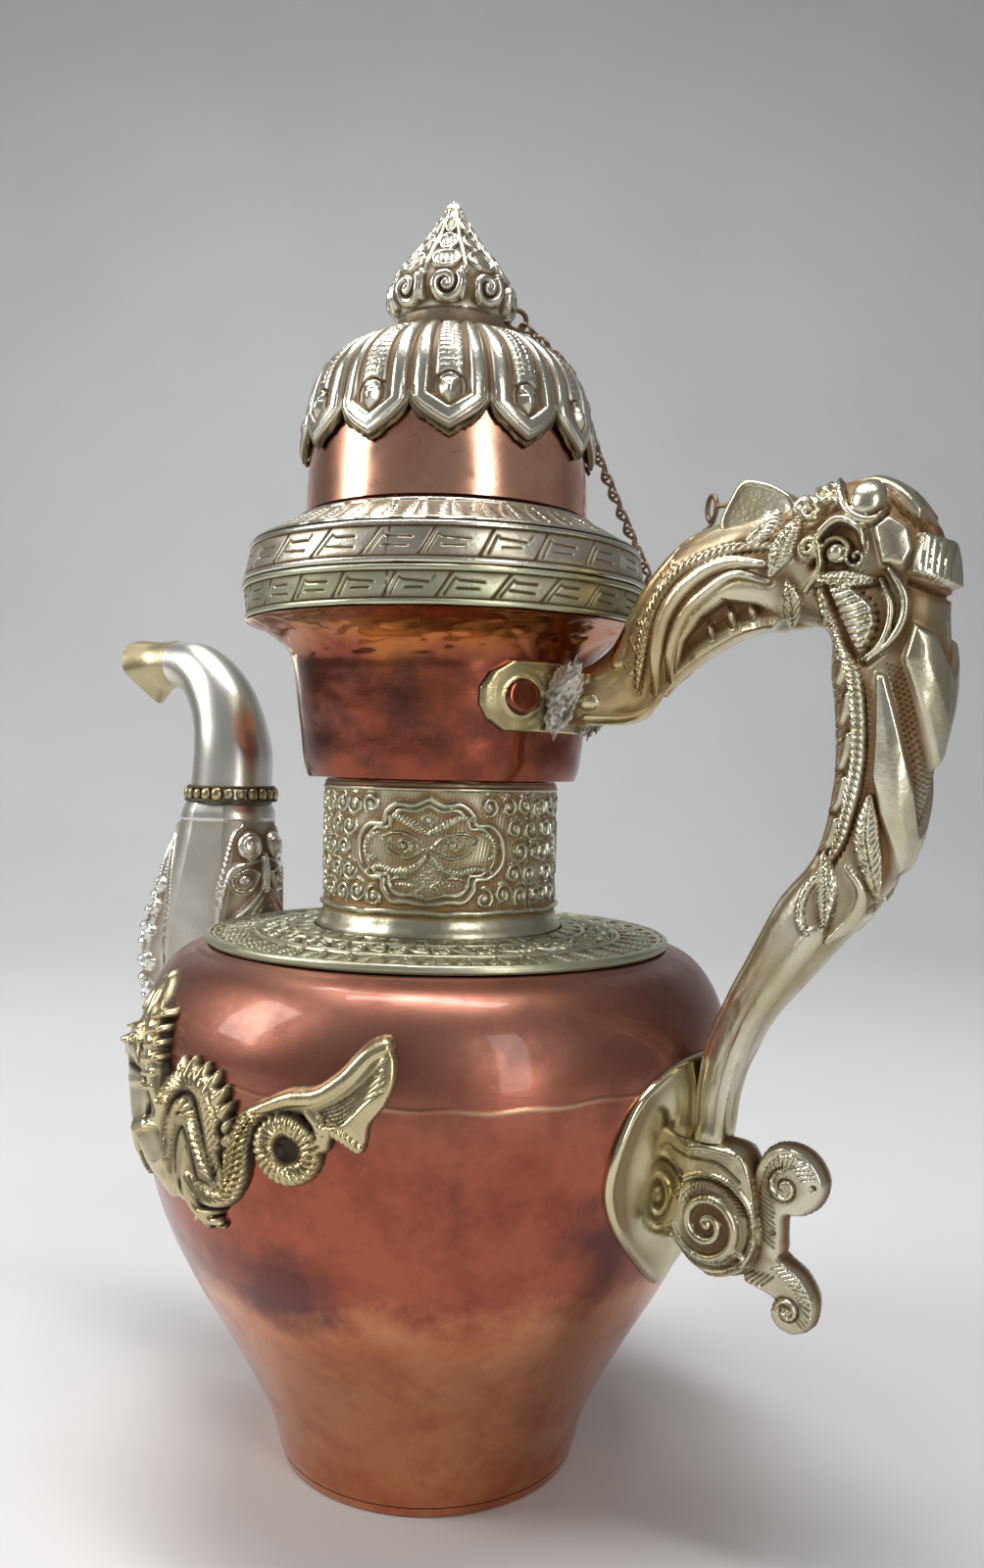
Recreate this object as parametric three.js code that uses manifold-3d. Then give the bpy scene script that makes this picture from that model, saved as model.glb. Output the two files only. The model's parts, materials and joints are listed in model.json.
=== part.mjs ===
// Lidded pouring ewer in beaten copper with white-metal and brass mounts.
// Millimetres, +Z up. The origin is the centre of the underside of the foot.
// The handle stands on the +X side and the spout on the -X side.
import * as THREE from 'three';
import { mergeVertices } from 'three/addons/utils/BufferGeometryUtils.js';
import Module from 'manifold-3d';

const wasm = await Module();
wasm.setup();

// Turning and clearances
const around = 26;
const gap = 0.3;
const settling = 0.6;
const overrun = 2;
const sheet = 1.2;
const skin = 1.0;

// Vessel
const footRadius = 39.6;
const footRim = 3;
const footFlare = 0.8;
const bellyRadius = 79.2;
const shoulderHeight = 137.8;
const upperHeight = 25.8;
const shoulderRadius = 63;
const crownRise = 3.8;
const neckRadius = 31.6;
const neckHeight = 40.4;
const neckRoll = 1.9;
const neckRollHeight = 5;

// Collar cup and the fret bands of rim and lid
const cupFootRadius = 36.6;
const cupMouthRadius = 54;
const cupHeight = 41;
const cupWaist = 40.8;
const bandHeight = 9.4;
const bandWall = 1.5;
const bandFlare = 1;
const bandLip = 3.8;
const ledge = 1.2;
const plugClearance = 0.6;
const plugDepth = 7;
const lidBandHeight = 10.4;
const lidBandDraft = 1.8;
const flangeRise = 8.3;

// Lid dome, petal cap and finial
const domeRadius = 38.4;
const domeHeight = 52;
const petalCount = 12;
const petalSteps = 4;
const petalNotch = 8;
const petalPoint = 1.4;
const petalRelief = 0.9;
const finialRadius = 16.6;
const finialHeight = 34.7;
const finialLobes = 9;
const lobeRelief = 0.8;
const stemRadius = 2.4;
const washerRadius = 6;

// Spout
const spoutReach = 46;
const spoutDrop = 55.8;
const spoutRise = 143;
const spoutWidth = 18;
const spoutWall = 1.6;
const spoutSkin = 1.2;
const portRadius = 9;
const portDrop = 13.3;
const beadCount = 20;
const beadRadius = 1.7;
const beadWaistShare = 0.5;

// Handle
const handleReach = 83;
const handleCrest = 42.2;
const handleWidth = 13;
const snoutWidth = 16.9;
const eyeRadius = 6.5;
const eyeWidth = 29.9;
const slabBevel = 1;
const strapDrop = 10.7;
const strapHeight = 18;
const strapAngle = 40;
const strapWall = 1.4;
const rivetAngle = 25;
const rivetHeadRadius = 4.2;
const rivetHeadHeight = 2;
const rivetShank = 1.6;
const socketDrop = 77.8;
const socketWidth = 13;
const voluteWidth = 5.4;
const plateRise = 18.7;
const plateHeight = 58.5;
const plateAngle = 25;
const plateFlatness = 6;
const plateWall = 1.2;

// Dragons on the belly
const dragonAngle = 60;
const dragonSpan = 73.3;
const dragonDrop = 58.8;
const dragonTall = 53;
const dragonThick = 3.3;
const coilRadius = 6;
const coilSteps = 5;

// Keeper chain, from the finial's loop to the ring on the handle's snout
const chainAngle = 45;
const chainWire = 0.9;
const drapeLinks = 14;
const swagLinks = 14;
const linkPlay = 0.5;
const linkWidth = 4;
const loopRadius = 2.6;
const loopWire = 1.3;
const ringRadius = 3.1;
const ringShank = 6.4;
const ringOffset = 2.4;
const swagDepth = 26;

// Colours, as the metals show in daylight
const metals = {
  copper: { color: 0xb4674a, roughness: 0.28, metalness: 1 },
  silver: { color: 0xc3bfae, roughness: 0.34, metalness: 1 },
  brass: { color: 0xb59a58, roughness: 0.36, metalness: 1 },
  pale: { color: 0xb9b08e, roughness: 0.34, metalness: 1 },
  iron: { color: 0x6b4f3a, roughness: 0.5, metalness: 1 },
};

const ewer = new THREE.Group();

function add(name, geometry, metal) {
  const mesh = new THREE.Mesh(geometry, new THREE.MeshStandardMaterial(metals[metal]));
  mesh.name = name;
  ewer.add(mesh);
  return mesh;
}

// Shared vertices, no collapsed faces, and the faces turned outwards
function tidy(source) {
  const bare = source.clone();
  bare.deleteAttribute('normal');
  bare.deleteAttribute('uv');
  const merged = mergeVertices(bare);
  const place = merged.attributes.position;
  const corners = merged.index.array;
  const kept = [];
  const [a, b, c] = [new THREE.Vector3(), new THREE.Vector3(), new THREE.Vector3()];
  let volume = 0;
  for (let i = 0; i < corners.length; i += 3) {
    const [p, q, r] = [corners[i], corners[i + 1], corners[i + 2]];
    if (p === q || q === r || r === p) continue;
    kept.push(p, q, r);
    a.fromBufferAttribute(place, p);
    b.fromBufferAttribute(place, q);
    c.fromBufferAttribute(place, r);
    volume += a.dot(b.cross(c));
  }
  if (volume < 0) {
    for (let i = 0; i < kept.length; i += 3) [kept[i], kept[i + 1]] = [kept[i + 1], kept[i]];
  }
  merged.setIndex(kept);
  merged.computeVertexNormals();
  return merged;
}

function solid(geometry) {
  const closed = tidy(geometry);
  return new wasm.Manifold(new wasm.Mesh({
    numProp: 3,
    vertProperties: new Float32Array(closed.attributes.position.array),
    triVerts: new Uint32Array(closed.index.array),
  }));
}

function shape(body) {
  const mesh = body.getMesh();
  const geometry = new THREE.BufferGeometry();
  geometry.setAttribute('position', new THREE.BufferAttribute(mesh.vertProperties, 3));
  geometry.setIndex([...mesh.triVerts]);
  return tidy(geometry);
}

const joined = (first, ...rest) => shape(rest.reduce((sum, next) => sum.add(solid(next)), solid(first)));
const cut = (first, ...tools) => shape(tools.reduce((sum, tool) => sum.subtract(solid(tool)), solid(first)));

// Moves every vertex of a geometry to where the rule puts it
function reshaped(geometry, rule) {
  const place = geometry.attributes.position;
  const point = new THREE.Vector3();
  for (let i = 0; i < place.count; i += 1) {
    point.fromBufferAttribute(place, i);
    const moved = rule(point, i);
    place.setXYZ(i, moved.x, moved.y, moved.z);
  }
  return geometry;
}

// Turned work: an outline of [radius, height] points, on the axis or closed on itself
function turned(outline, steps = around) {
  const ring = outline[0][0] > 0;
  const path = ring ? [...outline, outline[0]] : outline;
  const lathe = new THREE.LatheGeometry(path.map(([r, z]) => new THREE.Vector2(r, z)), steps);
  return tidy(lathe.rotateX(Math.PI / 2));
}

// Turned work whose outline changes with the angle round the axis
function carved(outlineAt, steps) {
  const flat = outlineAt(0);
  const lathe = new THREE.LatheGeometry(flat.map(([r, z]) => new THREE.Vector2(r, z)), steps);
  reshaped(lathe, (point, i) => {
    const angle = 2 * Math.PI * (Math.floor(i / flat.length) % steps) / steps;
    const [r, z] = outlineAt(angle)[i % flat.length];
    return new THREE.Vector3(r * Math.cos(angle), r * Math.sin(angle), z);
  });
  return tidy(lathe);
}

// The same line moved sideways by a distance, to the left of its run
function beside(line, distance) {
  return line.map(([r, z], i) => {
    const [r0, z0] = line[Math.max(i - 1, 0)];
    const [r1, z1] = line[Math.min(i + 1, line.length - 1)];
    const length = Math.hypot(r1 - r0, z1 - z0);
    return [r - distance * (z1 - z0) / length, z + distance * (r1 - r0) / length];
  });
}

// Every second point of a line, and both its ends
const eased = (line) => line.filter((point, i) => i % 2 === 0 || i === line.length - 1);

// A wall inside an outer line that runs upwards, its two rims cut level
function walled(outer, wall) {
  const inner = eased(beside(outer, wall));
  const last = inner.length - 1;
  inner[0][1] = outer[0][1];
  inner[last][1] = outer[outer.length - 1][1];
  return [...outer, ...inner.reverse()];
}

// Radius of a line of [radius, height] points at one height
function radiusAt(line, height) {
  for (let i = 1; i < line.length; i += 1) {
    const [r0, z0] = line[i - 1];
    const [r1, z1] = line[i];
    if (height <= z1) return r0 + (r1 - r0) * Math.max(height - z0, 0) / (z1 - z0);
  }
  return line[line.length - 1][0];
}

// A lofted body through ribs. Each rib holds its outer and inner edge in the XZ plane and
// its half width in Y; roundness 2 is an ellipse and larger values are boxier.
function lofted(ribs, { steps, sides, roundness = 2, turn = 0 }) {
  const outer = new THREE.CatmullRomCurve3(ribs.map((rib) => new THREE.Vector3(rib[0], 0, rib[1])));
  const inner = new THREE.CatmullRomCurve3(ribs.map((rib) => new THREE.Vector3(rib[2], 0, rib[3])));
  const width = new THREE.CatmullRomCurve3(ribs.map((rib, i) => new THREE.Vector3(rib[4], i, 0)));
  const stock = new THREE.CylinderGeometry(1, 1, 1, sides, steps, false, turn);
  const squared = (value) => Math.sign(value) * Math.abs(value) ** (2 / roundness);
  return reshaped(stock, (point) => {
    const share = Math.min(Math.max(point.y + 1 / 2, 0), 1);
    const a = outer.getPoint(share);
    const b = inner.getPoint(share);
    const middle = a.clone().add(b).divideScalar(2);
    const reach = a.sub(b).divideScalar(2);
    middle.addScaledVector(reach, squared(point.x));
    middle.y += width.getPoint(share).x * squared(point.z);
    return middle;
  });
}

// A bar that follows points in space, with a radius at each. Its underside is settled by a rule.
function bar(points, radii, { steps, sides, settled }) {
  const path = new THREE.CatmullRomCurve3(points);
  const sizes = new THREE.CatmullRomCurve3(radii.map((r, i) => new THREE.Vector3(r, i, 0)));
  const stock = new THREE.CylinderGeometry(1, 1, 1, sides, steps);
  return reshaped(stock, (point) => {
    const share = Math.min(Math.max(point.y + 1 / 2, 0), 1);
    const spot = path.getPoint(share);
    const along = path.getTangent(share);
    const out = new THREE.Vector3(spot.x, spot.y, 0).normalize();
    const side = along.clone().cross(out).normalize();
    const rise = side.clone().cross(along).normalize();
    const radius = sizes.getPoint(share).x;
    spot.addScaledVector(side, radius * point.x).addScaledVector(rise, radius * point.z);
    return point.z < 0 ? settled(spot) : spot;
  });
}

// Round work has flats: a seat grown by this much clears the corners of what it rests on
const corner = 1 / Math.cos(Math.PI / around);

// Vessel outline, as shares of the height above the foot's rim, and of the swell beyond the foot or
// beyond the shoulder
const bellyShares = [
  [0, 0], [0.07, 0.067], [0.16, 0.126], [0.28, 0.193], [0.44, 0.275], [0.62, 0.364], [0.79, 0.467],
  [0.918, 0.586], [0.985, 0.705], [1, 0.794],
];
const shoulderShares = [[0.94, 0.868], [0.736, 0.93], [0.425, 0.975], [0.02, 1]];
const waistRadius = footRadius + footFlare;
const bellyStart = footRim + gap;
const bellyPart = (shares, narrow) => shares.map(([swell, rise]) => [
  narrow + swell * (bellyRadius - narrow), bellyStart + rise * (shoulderHeight - bellyStart),
]);
const belly = [...bellyPart(bellyShares, waistRadius), ...bellyPart(shoulderShares, shoulderRadius)];
const neckTubeRadius = neckRadius - skin - gap;
const neckBore = neckTubeRadius - sheet;
const crownTop = shoulderHeight + crownRise;
const neckTop = crownTop + neckHeight;
const seamHeight = shoulderHeight - upperHeight;
const bellySplit = [radiusAt(belly, seamHeight), seamHeight];
const lowerLine = [...belly.filter(([, z]) => z < seamHeight - gap), bellySplit];
const upperStart = seamHeight + gap;
const crownLine = [[neckTubeRadius + overrun, crownTop], [neckBore, crownTop]];
const upperLine = [
  [radiusAt(belly, upperStart), upperStart], ...belly.filter(([, z]) => z > upperStart), ...crownLine,
];

function baseDisc() {
  return turned([
    [0, 0], [footRadius, 0], [waistRadius, footRim], [waistRadius - sheet, footRim],
    [footRadius - sheet, sheet], [0, sheet],
  ]);
}

function spoutPort() {
  const port = new THREE.CylinderGeometry(portRadius, portRadius, bellyRadius, around / 3);
  port.rotateZ(Math.PI / 2);
  return port.translate(-bellyRadius / 2 - neckRadius, 0, shoulderHeight - portDrop);
}

// The upper belly's rims are cut level below and upright at the neck
function upperWall() {
  const wall = eased(beside(upperLine.slice(0, -2), sheet));
  wall[0][1] = upperStart;
  const crown = crownLine.map(([r, z]) => [r, z - sheet]);
  return [...upperLine, ...[...wall, ...crown].reverse()];
}

add('base_disc', baseDisc(), 'copper');
add('belly_lower', turned(walled(lowerLine, sheet)), 'copper');
add('belly_upper', cut(turned(upperWall()), spoutPort()), 'copper');

// Neck and shoulder
const plateLine = [[shoulderRadius - gap, shoulderHeight], [neckTubeRadius + overrun, crownTop]];
function shoulderPlate() {
  const inner = neckRadius + neckRoll + gap;
  const slope = (plateLine[1][1] - plateLine[0][1]) / (plateLine[0][0] - plateLine[1][0]);
  const under = (r) => shoulderHeight + gap + gap / 2 + slope * (plateLine[0][0] - r);
  const edge = plateLine[0][0];
  return turned([
    [inner, under(inner)], [edge, under(edge)], [edge, under(edge) + skin + footFlare],
    [edge - neckRoll, under(edge) + skin + footFlare], [edge - 2 * neckRoll, under(edge) + skin],
    [inner, under(inner) + skin],
  ]);
}

function neckSleeve() {
  const low = crownTop + gap;
  const bore = neckRadius - skin;
  return turned([
    [bore, low], [neckRadius + neckRoll, low], [neckRadius + neckRoll, low + neckRoll],
    [neckRadius + neckRoll / 3, low + neckRollHeight], [neckRadius, low + neckRollHeight + neckRoll],
    [neckRadius, neckTop - 2 * neckRoll], [neckRadius + neckRoll / 3, neckTop - neckRoll],
    [neckRadius, neckTop], [bore, neckTop],
  ]);
}

function neckTube() {
  const low = crownTop + gap;
  return turned([[neckBore, low], [neckTubeRadius, low], [neckTubeRadius, neckTop], [neckBore, neckTop]]);
}

add('shoulder_plate', shoulderPlate(), 'silver');
add('neck_tube', neckTube(), 'copper');
add('neck_sleeve', neckSleeve(), 'silver');

// Collar cup: a flared copper cup on the neck
const cupSideShares = [[0.24, 0.09], [0.45, 0.3], [0.69, 0.44], [0.99, 0.66], [1.14, 0.8]];
const cupFlareShares = [[0.2, 0.85], [0.55, 0.94], [1, 1]];
const cupBottom = neckTop + gap;
const cupTop = cupBottom + cupHeight;
const cupPart = (shares, from, to) => shares.map(([swell, rise]) => [
  from + swell * (to - from), cupBottom + rise * cupHeight,
]);
const cupLine = [
  [cupFootRadius - skin, cupBottom], [cupFootRadius, cupBottom + skin],
  ...cupPart(cupSideShares, cupFootRadius, cupWaist), ...cupPart(cupFlareShares, cupWaist, cupMouthRadius),
];
const bandBottom = cupTop + gap;
const rimTop = bandBottom + bandHeight;
const mouthRadius = cupMouthRadius - bandLip;

// The strap lies on the cup, and the rivets go through both
const strapTop = cupTop - strapDrop;
const strapInner = (height) => radiusAt(cupLine, height) + settling;
const strapOuter = (height) => strapInner(height) + strapWall;
const rivetHeight = strapTop - strapHeight / 2;
const rivetAngles = { near: -rivetAngle, far: rivetAngle };

// A cylinder that lies along a radius of the vessel at the rivets' height
function radialPin(radius, from, to, degrees, sides = 10) {
  const pin = new THREE.CylinderGeometry(radius, radius, to - from, sides);
  pin.rotateZ(-Math.PI / 2);
  pin.translate((from + to) / 2, 0, rivetHeight);
  return pin.rotateZ(THREE.MathUtils.degToRad(degrees));
}

function collarCup() {
  const inner = beside(cupLine, sheet).slice(1);
  inner[inner.length - 1][1] = cupTop;
  inner[0] = [cupFootRadius - skin - sheet / 2, cupBottom + sheet];
  const wall = turned([[neckBore, cupBottom], ...cupLine, ...inner.reverse(), [neckBore, cupBottom + sheet]]);
  const holes = Object.values(rivetAngles).map((angle) => radialPin(
    rivetShank + gap, neckBore, cupMouthRadius, angle));
  return cut(wall, ...holes);
}

function rimBand() {
  const low = cupMouthRadius;
  const top = cupMouthRadius + bandFlare;
  return turned([
    [low, bandBottom], [low + gap, bandBottom + ledge], [low, bandBottom + 2 * ledge],
    [top - gap, rimTop - 2 * ledge], [top, rimTop - ledge], [top - gap, rimTop], [mouthRadius, rimTop],
    [mouthRadius, rimTop - ledge], [top - bandWall, rimTop - ledge], [low - bandWall, bandBottom],
  ]);
}

add('collar_cup', collarCup(), 'copper');
add('rim_band', rimBand(), 'silver');

// Lid: band, sloping flange and the plug that seats in the mouth
const lidBottom = rimTop + gap;
const lidBandTop = lidBottom + lidBandHeight;
const lidBandRadius = cupMouthRadius + bandFlare - gap;
const lidShoulder = lidBandRadius - lidBandDraft;
const plugRadius = mouthRadius - plugClearance;
const flangeBottom = lidBandTop + gap;
const flangeTop = flangeBottom + flangeRise;
const flangeInner = domeRadius - 2 * sheet;
const flangeSlope = flangeRise / (lidShoulder - domeRadius);

function lidBand() {
  return turned([
    [plugRadius + gap, lidBottom], [lidBandRadius - gap, lidBottom], [lidBandRadius, lidBottom + ledge],
    [lidBandRadius - gap, lidBottom + 2 * ledge], [lidShoulder, lidBandTop - ledge],
    [lidShoulder - gap, lidBandTop], [lidShoulder - bandWall, lidBandTop],
    [lidBandRadius - bandWall, lidBottom + ledge], [plugRadius + gap, lidBottom + ledge],
  ]);
}

function lidFlange() {
  const edge = lidShoulder - gap;
  return turned([
    [edge, flangeBottom], [domeRadius + skin, flangeTop - skin / 2], [domeRadius + gap, flangeTop],
    [flangeInner, flangeTop], [flangeInner, flangeTop - skin], [domeRadius, flangeTop - skin],
    [edge - skin, flangeBottom],
  ]);
}

function lidPlug() {
  const under = flangeBottom + flangeSlope * (lidShoulder - plugRadius) - skin - 2 * gap;
  return turned([
    [plugRadius - sheet, lidBottom - plugDepth], [plugRadius, lidBottom - plugDepth],
    [plugRadius, under - sheet], [plugRadius - sheet, under],
  ]);
}

// The dome under the cap, as shares of its radius and height, from foot to crown
const domeFoot = flangeTop + gap;
const domeTop = domeFoot + domeHeight;
const domeShares = [
  [1, 0], [0.98, 0.28], [0.935, 0.475], [0.88, 0.65], [0.785, 0.785], [0.63, 0.885], [0.31, 0.975],
];
const domeLine = domeShares.map(([swell, rise]) => [swell * domeRadius, domeFoot + rise * domeHeight]);

function lidDome() {
  const hole = stemRadius + gap;
  const outer = [...domeLine, [hole, domeTop]];
  const inner = eased(beside(outer, sheet));
  inner[0][1] = domeFoot;
  inner[inner.length - 1] = [hole, domeTop - sheet];
  return turned([...outer, ...inner.reverse()]);
}

// Petal cap: lotus petals, each bulged, that follow the dome down to their tips
const capLine = domeLine.slice(1).reverse();
const capCurve = new THREE.SplineCurve(capLine.map(([r, z]) => new THREE.Vector2(r, z)));

function petalCap() {
  const outlineAt = (angle) => {
    const across = Math.abs(((angle * petalCount / (2 * Math.PI)) % 1) * 2 - 1);
    const line = capLine.map((point) => [...point]);
    line[line.length - 1][1] += petalNotch * (1 - across) ** petalPoint;
    const inner = beside(line, gap);
    const outer = line.map((point, i) => {
      const bulge = petalRelief * Math.min(2 * i / capLine.length, 1) * Math.sin(Math.PI * across / 2);
      return beside(line, gap + skin + bulge)[i];
    });
    const ring = [...outer, ...inner.reverse()];
    return [...ring, ring[0]];
  };
  return carved(outlineAt, petalCount * petalSteps);
}

// Finial: a bud on a plain roll, its widest part gathered in lobes, on a riveted stem. Shares of its
// radius, its height and its lobes' relief.
const finialShares = [
  [0.78, 0, 0], [0.84, 0.09, 0], [0.8, 0.16, 0], [0.92, 0.2, 1], [1, 0.27, 1], [0.91, 0.38, 1],
  [0.66, 0.58, 0], [0.37, 0.81, 0], [0.17, 0.93, 0], [0, 1, 0],
];
const finialFoot = domeTop + gap + skin + gap;

function finial() {
  const stemEnd = domeTop - 4 * sheet;
  const outlineAt = (angle) => {
    const lobe = Math.abs(Math.sin(angle * finialLobes / 2));
    const bud = finialShares.map(([swell, rise, lobed]) => [
      swell * finialRadius + lobed * lobeRelief * lobe, finialFoot + rise * finialHeight,
    ]);
    return [[0, stemEnd], [stemRadius, stemEnd], [stemRadius, finialFoot], ...bud];
  };
  return carved(outlineAt, finialLobes * 3);
}

function finialWasher() {
  const high = domeTop - 2 * sheet - gap;
  return turned([
    [stemRadius + gap, high - sheet], [washerRadius, high - sheet], [washerRadius, high],
    [stemRadius + gap, high],
  ], around / 2);
}

add('lid_band', lidBand(), 'silver');
add('lid_flange', lidFlange(), 'silver');
add('lid_plug', lidPlug(), 'copper');
add('lid_dome', lidDome(), 'copper');
add('petal_cap', petalCap(), 'silver');
add('finial', finial(), 'silver');
add('finial_washer', finialWasher(), 'brass');

// Spout: ribs as shares of its reach beyond the belly, its rise from its root and its half width
const spoutRootShares = [
  [0.1, -0.001, -0.55, 0.076, 0.7], [0.24, 0.02, -0.46, 0.126, 0.82], [0.54, 0.076, -0.4, 0.182, 0.95],
  [0.74, 0.217, -0.38, 0.253, 1], [0.755, 0.339, -0.33, 0.324, 1], [0.62, 0.441, -0.29, 0.405, 0.95],
  [0.49, 0.532, -0.265, 0.517, 0.87], [0.37, 0.638, -0.215, 0.638, 0.76],
];
const spoutPipeShares = [
  [0.335, 0.669, -0.22, 0.669, 0.7], [0.315, 0.767, -0.21, 0.761, 0.665],
  [0.35, 0.819, -0.035, 0.896, 0.575], [0.457, 0.87, 0.294, 0.978, 0.478],
  [0.604, 0.89, 0.604, 0.993, 0.41], [0.722, 0.883, 0.79, 0.991, 0.45],
  [0.804, 0.852, 0.99, 0.999, 0.64],
];
const spoutLevel = (share) => shoulderHeight - spoutDrop + share * spoutRise;
const spoutRib = ([outX, outZ, inX, inZ, half]) => [
  -bellyRadius - outX * spoutReach, spoutLevel(outZ), -bellyRadius - inX * spoutReach, spoutLevel(inZ),
  half * spoutWidth,
];

// The same rib with its edges drawn in by a wall
function thinner([x1, z1, x2, z2, half], wall) {
  const length = Math.hypot(x1 - x2, z1 - z2);
  const [dx, dz] = [wall * (x1 - x2) / length, wall * (z1 - z2) / length];
  return [x1 - dx, z1 - dz, x2 + dx, z2 + dz, half - wall];
}

// The bore's rib at an end, carried past the opening so that the cut comes through
function carried(rib, next) {
  const far = Math.hypot(rib[0] - next[0], rib[1] - next[1]);
  const width = rib.length - 1;
  return rib.map((value, i) => value + (i < width ? (value - next[i]) * overrun / far : 0));
}

function hollowed(ribs, wall, options) {
  const bore = ribs.map((rib) => thinner(rib, wall));
  const last = bore.length - 1;
  const through = [
    carried(bore[0], bore[1]), ...bore, carried(bore[last], bore[last - 1]),
  ];
  return cut(lofted(ribs, options), lofted(through, options));
}

const bellySeat = (clear) => turned([
  [0, footRim], ...belly.map(([r, z]) => [r + clear, z]),
  [plateLine[0][0], plateLine[0][1] + 2 * gap + skin + footFlare], [neckRadius, crownTop + neckRoll + gap],
  [0, crownTop + neckRoll + gap],
]);

function spoutRootShell() {
  const ribs = spoutRootShares.map(spoutRib);
  const options = { steps: 12, sides: 8, turn: Math.PI / 8 };
  return cut(hollowed(ribs, spoutWall, options), bellySeat(gap));
}

function spoutTube() {
  return hollowed(spoutPipeShares.map(spoutRib), spoutSkin, { steps: 12, sides: 10 });
}

// A row of beads round the joint of root and pipe
function beadRing() {
  const [outX, outZ, inX, , half] = spoutRib(spoutPipeShares[0]);
  const radius = (inX - outX) / 2;
  const beads = new THREE.TorusGeometry(1, beadRadius / radius, 4, beadCount * 2);
  const level = outZ - gap - beadRadius;
  return reshaped(beads, (point) => {
    const angle = Math.atan2(point.y, point.x);
    const flat = Math.hypot(point.x, point.y) - 1;
    const swell = beadWaistShare + (1 - beadWaistShare) * (1 + Math.cos(angle * beadCount)) / 2;
    const reach = 1 + flat * swell;
    return new THREE.Vector3(
      (outX + inX) / 2 + reach * Math.cos(angle) * radius, reach * Math.sin(angle) * half,
      level + point.z * radius * swell);
  });
}

add('spout_root', spoutRootShell(), 'silver');
add('spout_bead_ring', tidy(beadRing()), 'silver');
add('spout_tube', spoutTube(), 'silver');

// Handle: places as shares of its height, where 0 is the socket's foot, 1 the strap's top and 2 the
// crest, and of its reach beyond a line from the belly's radius at the foot to the mouth's at the strap
const handleBase = shoulderHeight - socketDrop;
const handleLevel = (share) => (share < 1
  ? handleBase + share * (strapTop - handleBase)
  : strapTop + (share - 1) * handleCrest);
const handleStart = (share) => bellyRadius + Math.min(share, 1) * (cupMouthRadius - bellyRadius);
const inHandle = ([x, z]) => [handleStart(z) + x * handleReach, handleLevel(z)];
const handleRib = ([outX, outZ, inX, inZ, half]) => [
  ...inHandle([outX, outZ]), ...inHandle([inX, inZ]), half * handleWidth,
];
const trunkShares = [
  [-0.297, 0.993, -0.327, 0.895, 0.63], [-0.073, 0.999, -0.056, 0.896, 0.56],
  [0.024, 1.14, 0.069, 0.91, 0.56], [0.084, 1.351, 0.168, 0.957, 0.64],
  [0.163, 1.554, 0.276, 0.997, 0.72], [0.259, 1.71, 0.386, 1.103, 0.8],
  [0.386, 1.793, 0.47, 1.149, 0.88], [0.524, 1.839, 0.524, 1.154, 0.96],
];
const headShares = [
  [0.528, 1.862, 0.528, 1.163, 0.96], [0.614, 1.898, 0.614, 1.186, 1], [0.711, 1.958, 0.687, 1.227, 1],
  [0.807, 1.912, 0.807, 1.227, 0.96], [0.904, 1.802, 0.916, 1.227, 0.88],
  [0.982, 1.65, 0.988, 1.255, 0.7],
];
const armShares = [
  [0.994, 1.223, 0.687, 1.223, 0.92], [0.997, 0.989, 0.68, 0.995, 0.92],
  [0.953, 0.904, 0.671, 0.91, 0.85], [0.882, 0.789, 0.645, 0.823, 0.77],
  [0.766, 0.665, 0.57, 0.714, 0.69], [0.578, 0.561, 0.438, 0.636, 0.62],
  [0.456, 0.496, 0.327, 0.55, 0.54], [0.353, 0.436, 0.236, 0.478, 0.48],
  [0.278, 0.38, 0.172, 0.409, 0.45], [0.227, 0.328, 0.129, 0.341, 0.43],
  [0.187, 0.259, 0.095, 0.259, 0.42],
];
const snoutShares = [
  [0.277, 1.682], [0.368, 1.999], [0.44, 1.986], [0.524, 1.889], [0.524, 1.659], [0.409, 1.567],
];
const eyeShare = [0.65, 1.613];
const chinShare = 1.232;
const headBottom = handleLevel(chinShare);

// A flat piece cut to an outline in the XZ plane, centred on Y = 0
function slab(points, width, bevel) {
  const outline = new THREE.Shape(points.map(([x, z]) => new THREE.Vector2(x, z)));
  const plate = new THREE.ExtrudeGeometry(outline, {
    depth: width - 2 * bevel, bevelEnabled: bevel > 0, bevelSize: bevel, bevelThickness: bevel,
    bevelOffset: -bevel, bevelSegments: 1, steps: 1,
  });
  plate.translate(0, 0, bevel - width / 2);
  return plate.rotateX(Math.PI / 2);
}

function handleTrunk() {
  const horn = lofted(trunkShares.map(handleRib), { steps: 14, sides: 12, roundness: 2.5 });
  const snout = slab(snoutShares.map(inHandle), snoutWidth, slabBevel);
  const heights = [
    strapTop - 2 * strapHeight, strapTop - strapHeight, rivetHeight, strapTop, strapTop + overrun,
  ];
  const seat = turned([
    [0, heights[0]], ...heights.map((z) => [(strapOuter(z) + gap) * corner, z]), [0, strapTop + overrun],
  ]);
  return cut(joined(horn, snout), seat);
}

function handleHead() {
  const skull = lofted(headShares.map(handleRib), { steps: 8, sides: 12, roundness: 2.8 });
  const floor = new THREE.BoxGeometry(2 * handleReach, 2 * handleReach, handleCrest);
  const [, , chinX] = handleRib(headShares[1]);
  floor.translate(chinX + handleReach, 0, headBottom - handleCrest / 2);
  const eyes = new THREE.CylinderGeometry(eyeRadius, eyeRadius, eyeWidth, 12);
  const [eyeX, eyeZ] = inHandle(eyeShare);
  eyes.translate(eyeX, 0, eyeZ);
  return cut(joined(skull, eyes), floor);
}

// What the arm and the socket are cut back to: the belly with the leaf plate on it
function plateSeat() {
  const seat = bellySeat(gap + plateWall + gap);
  return seat.rotateZ(Math.PI / around).scale(corner, corner, 1);
}

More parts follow.
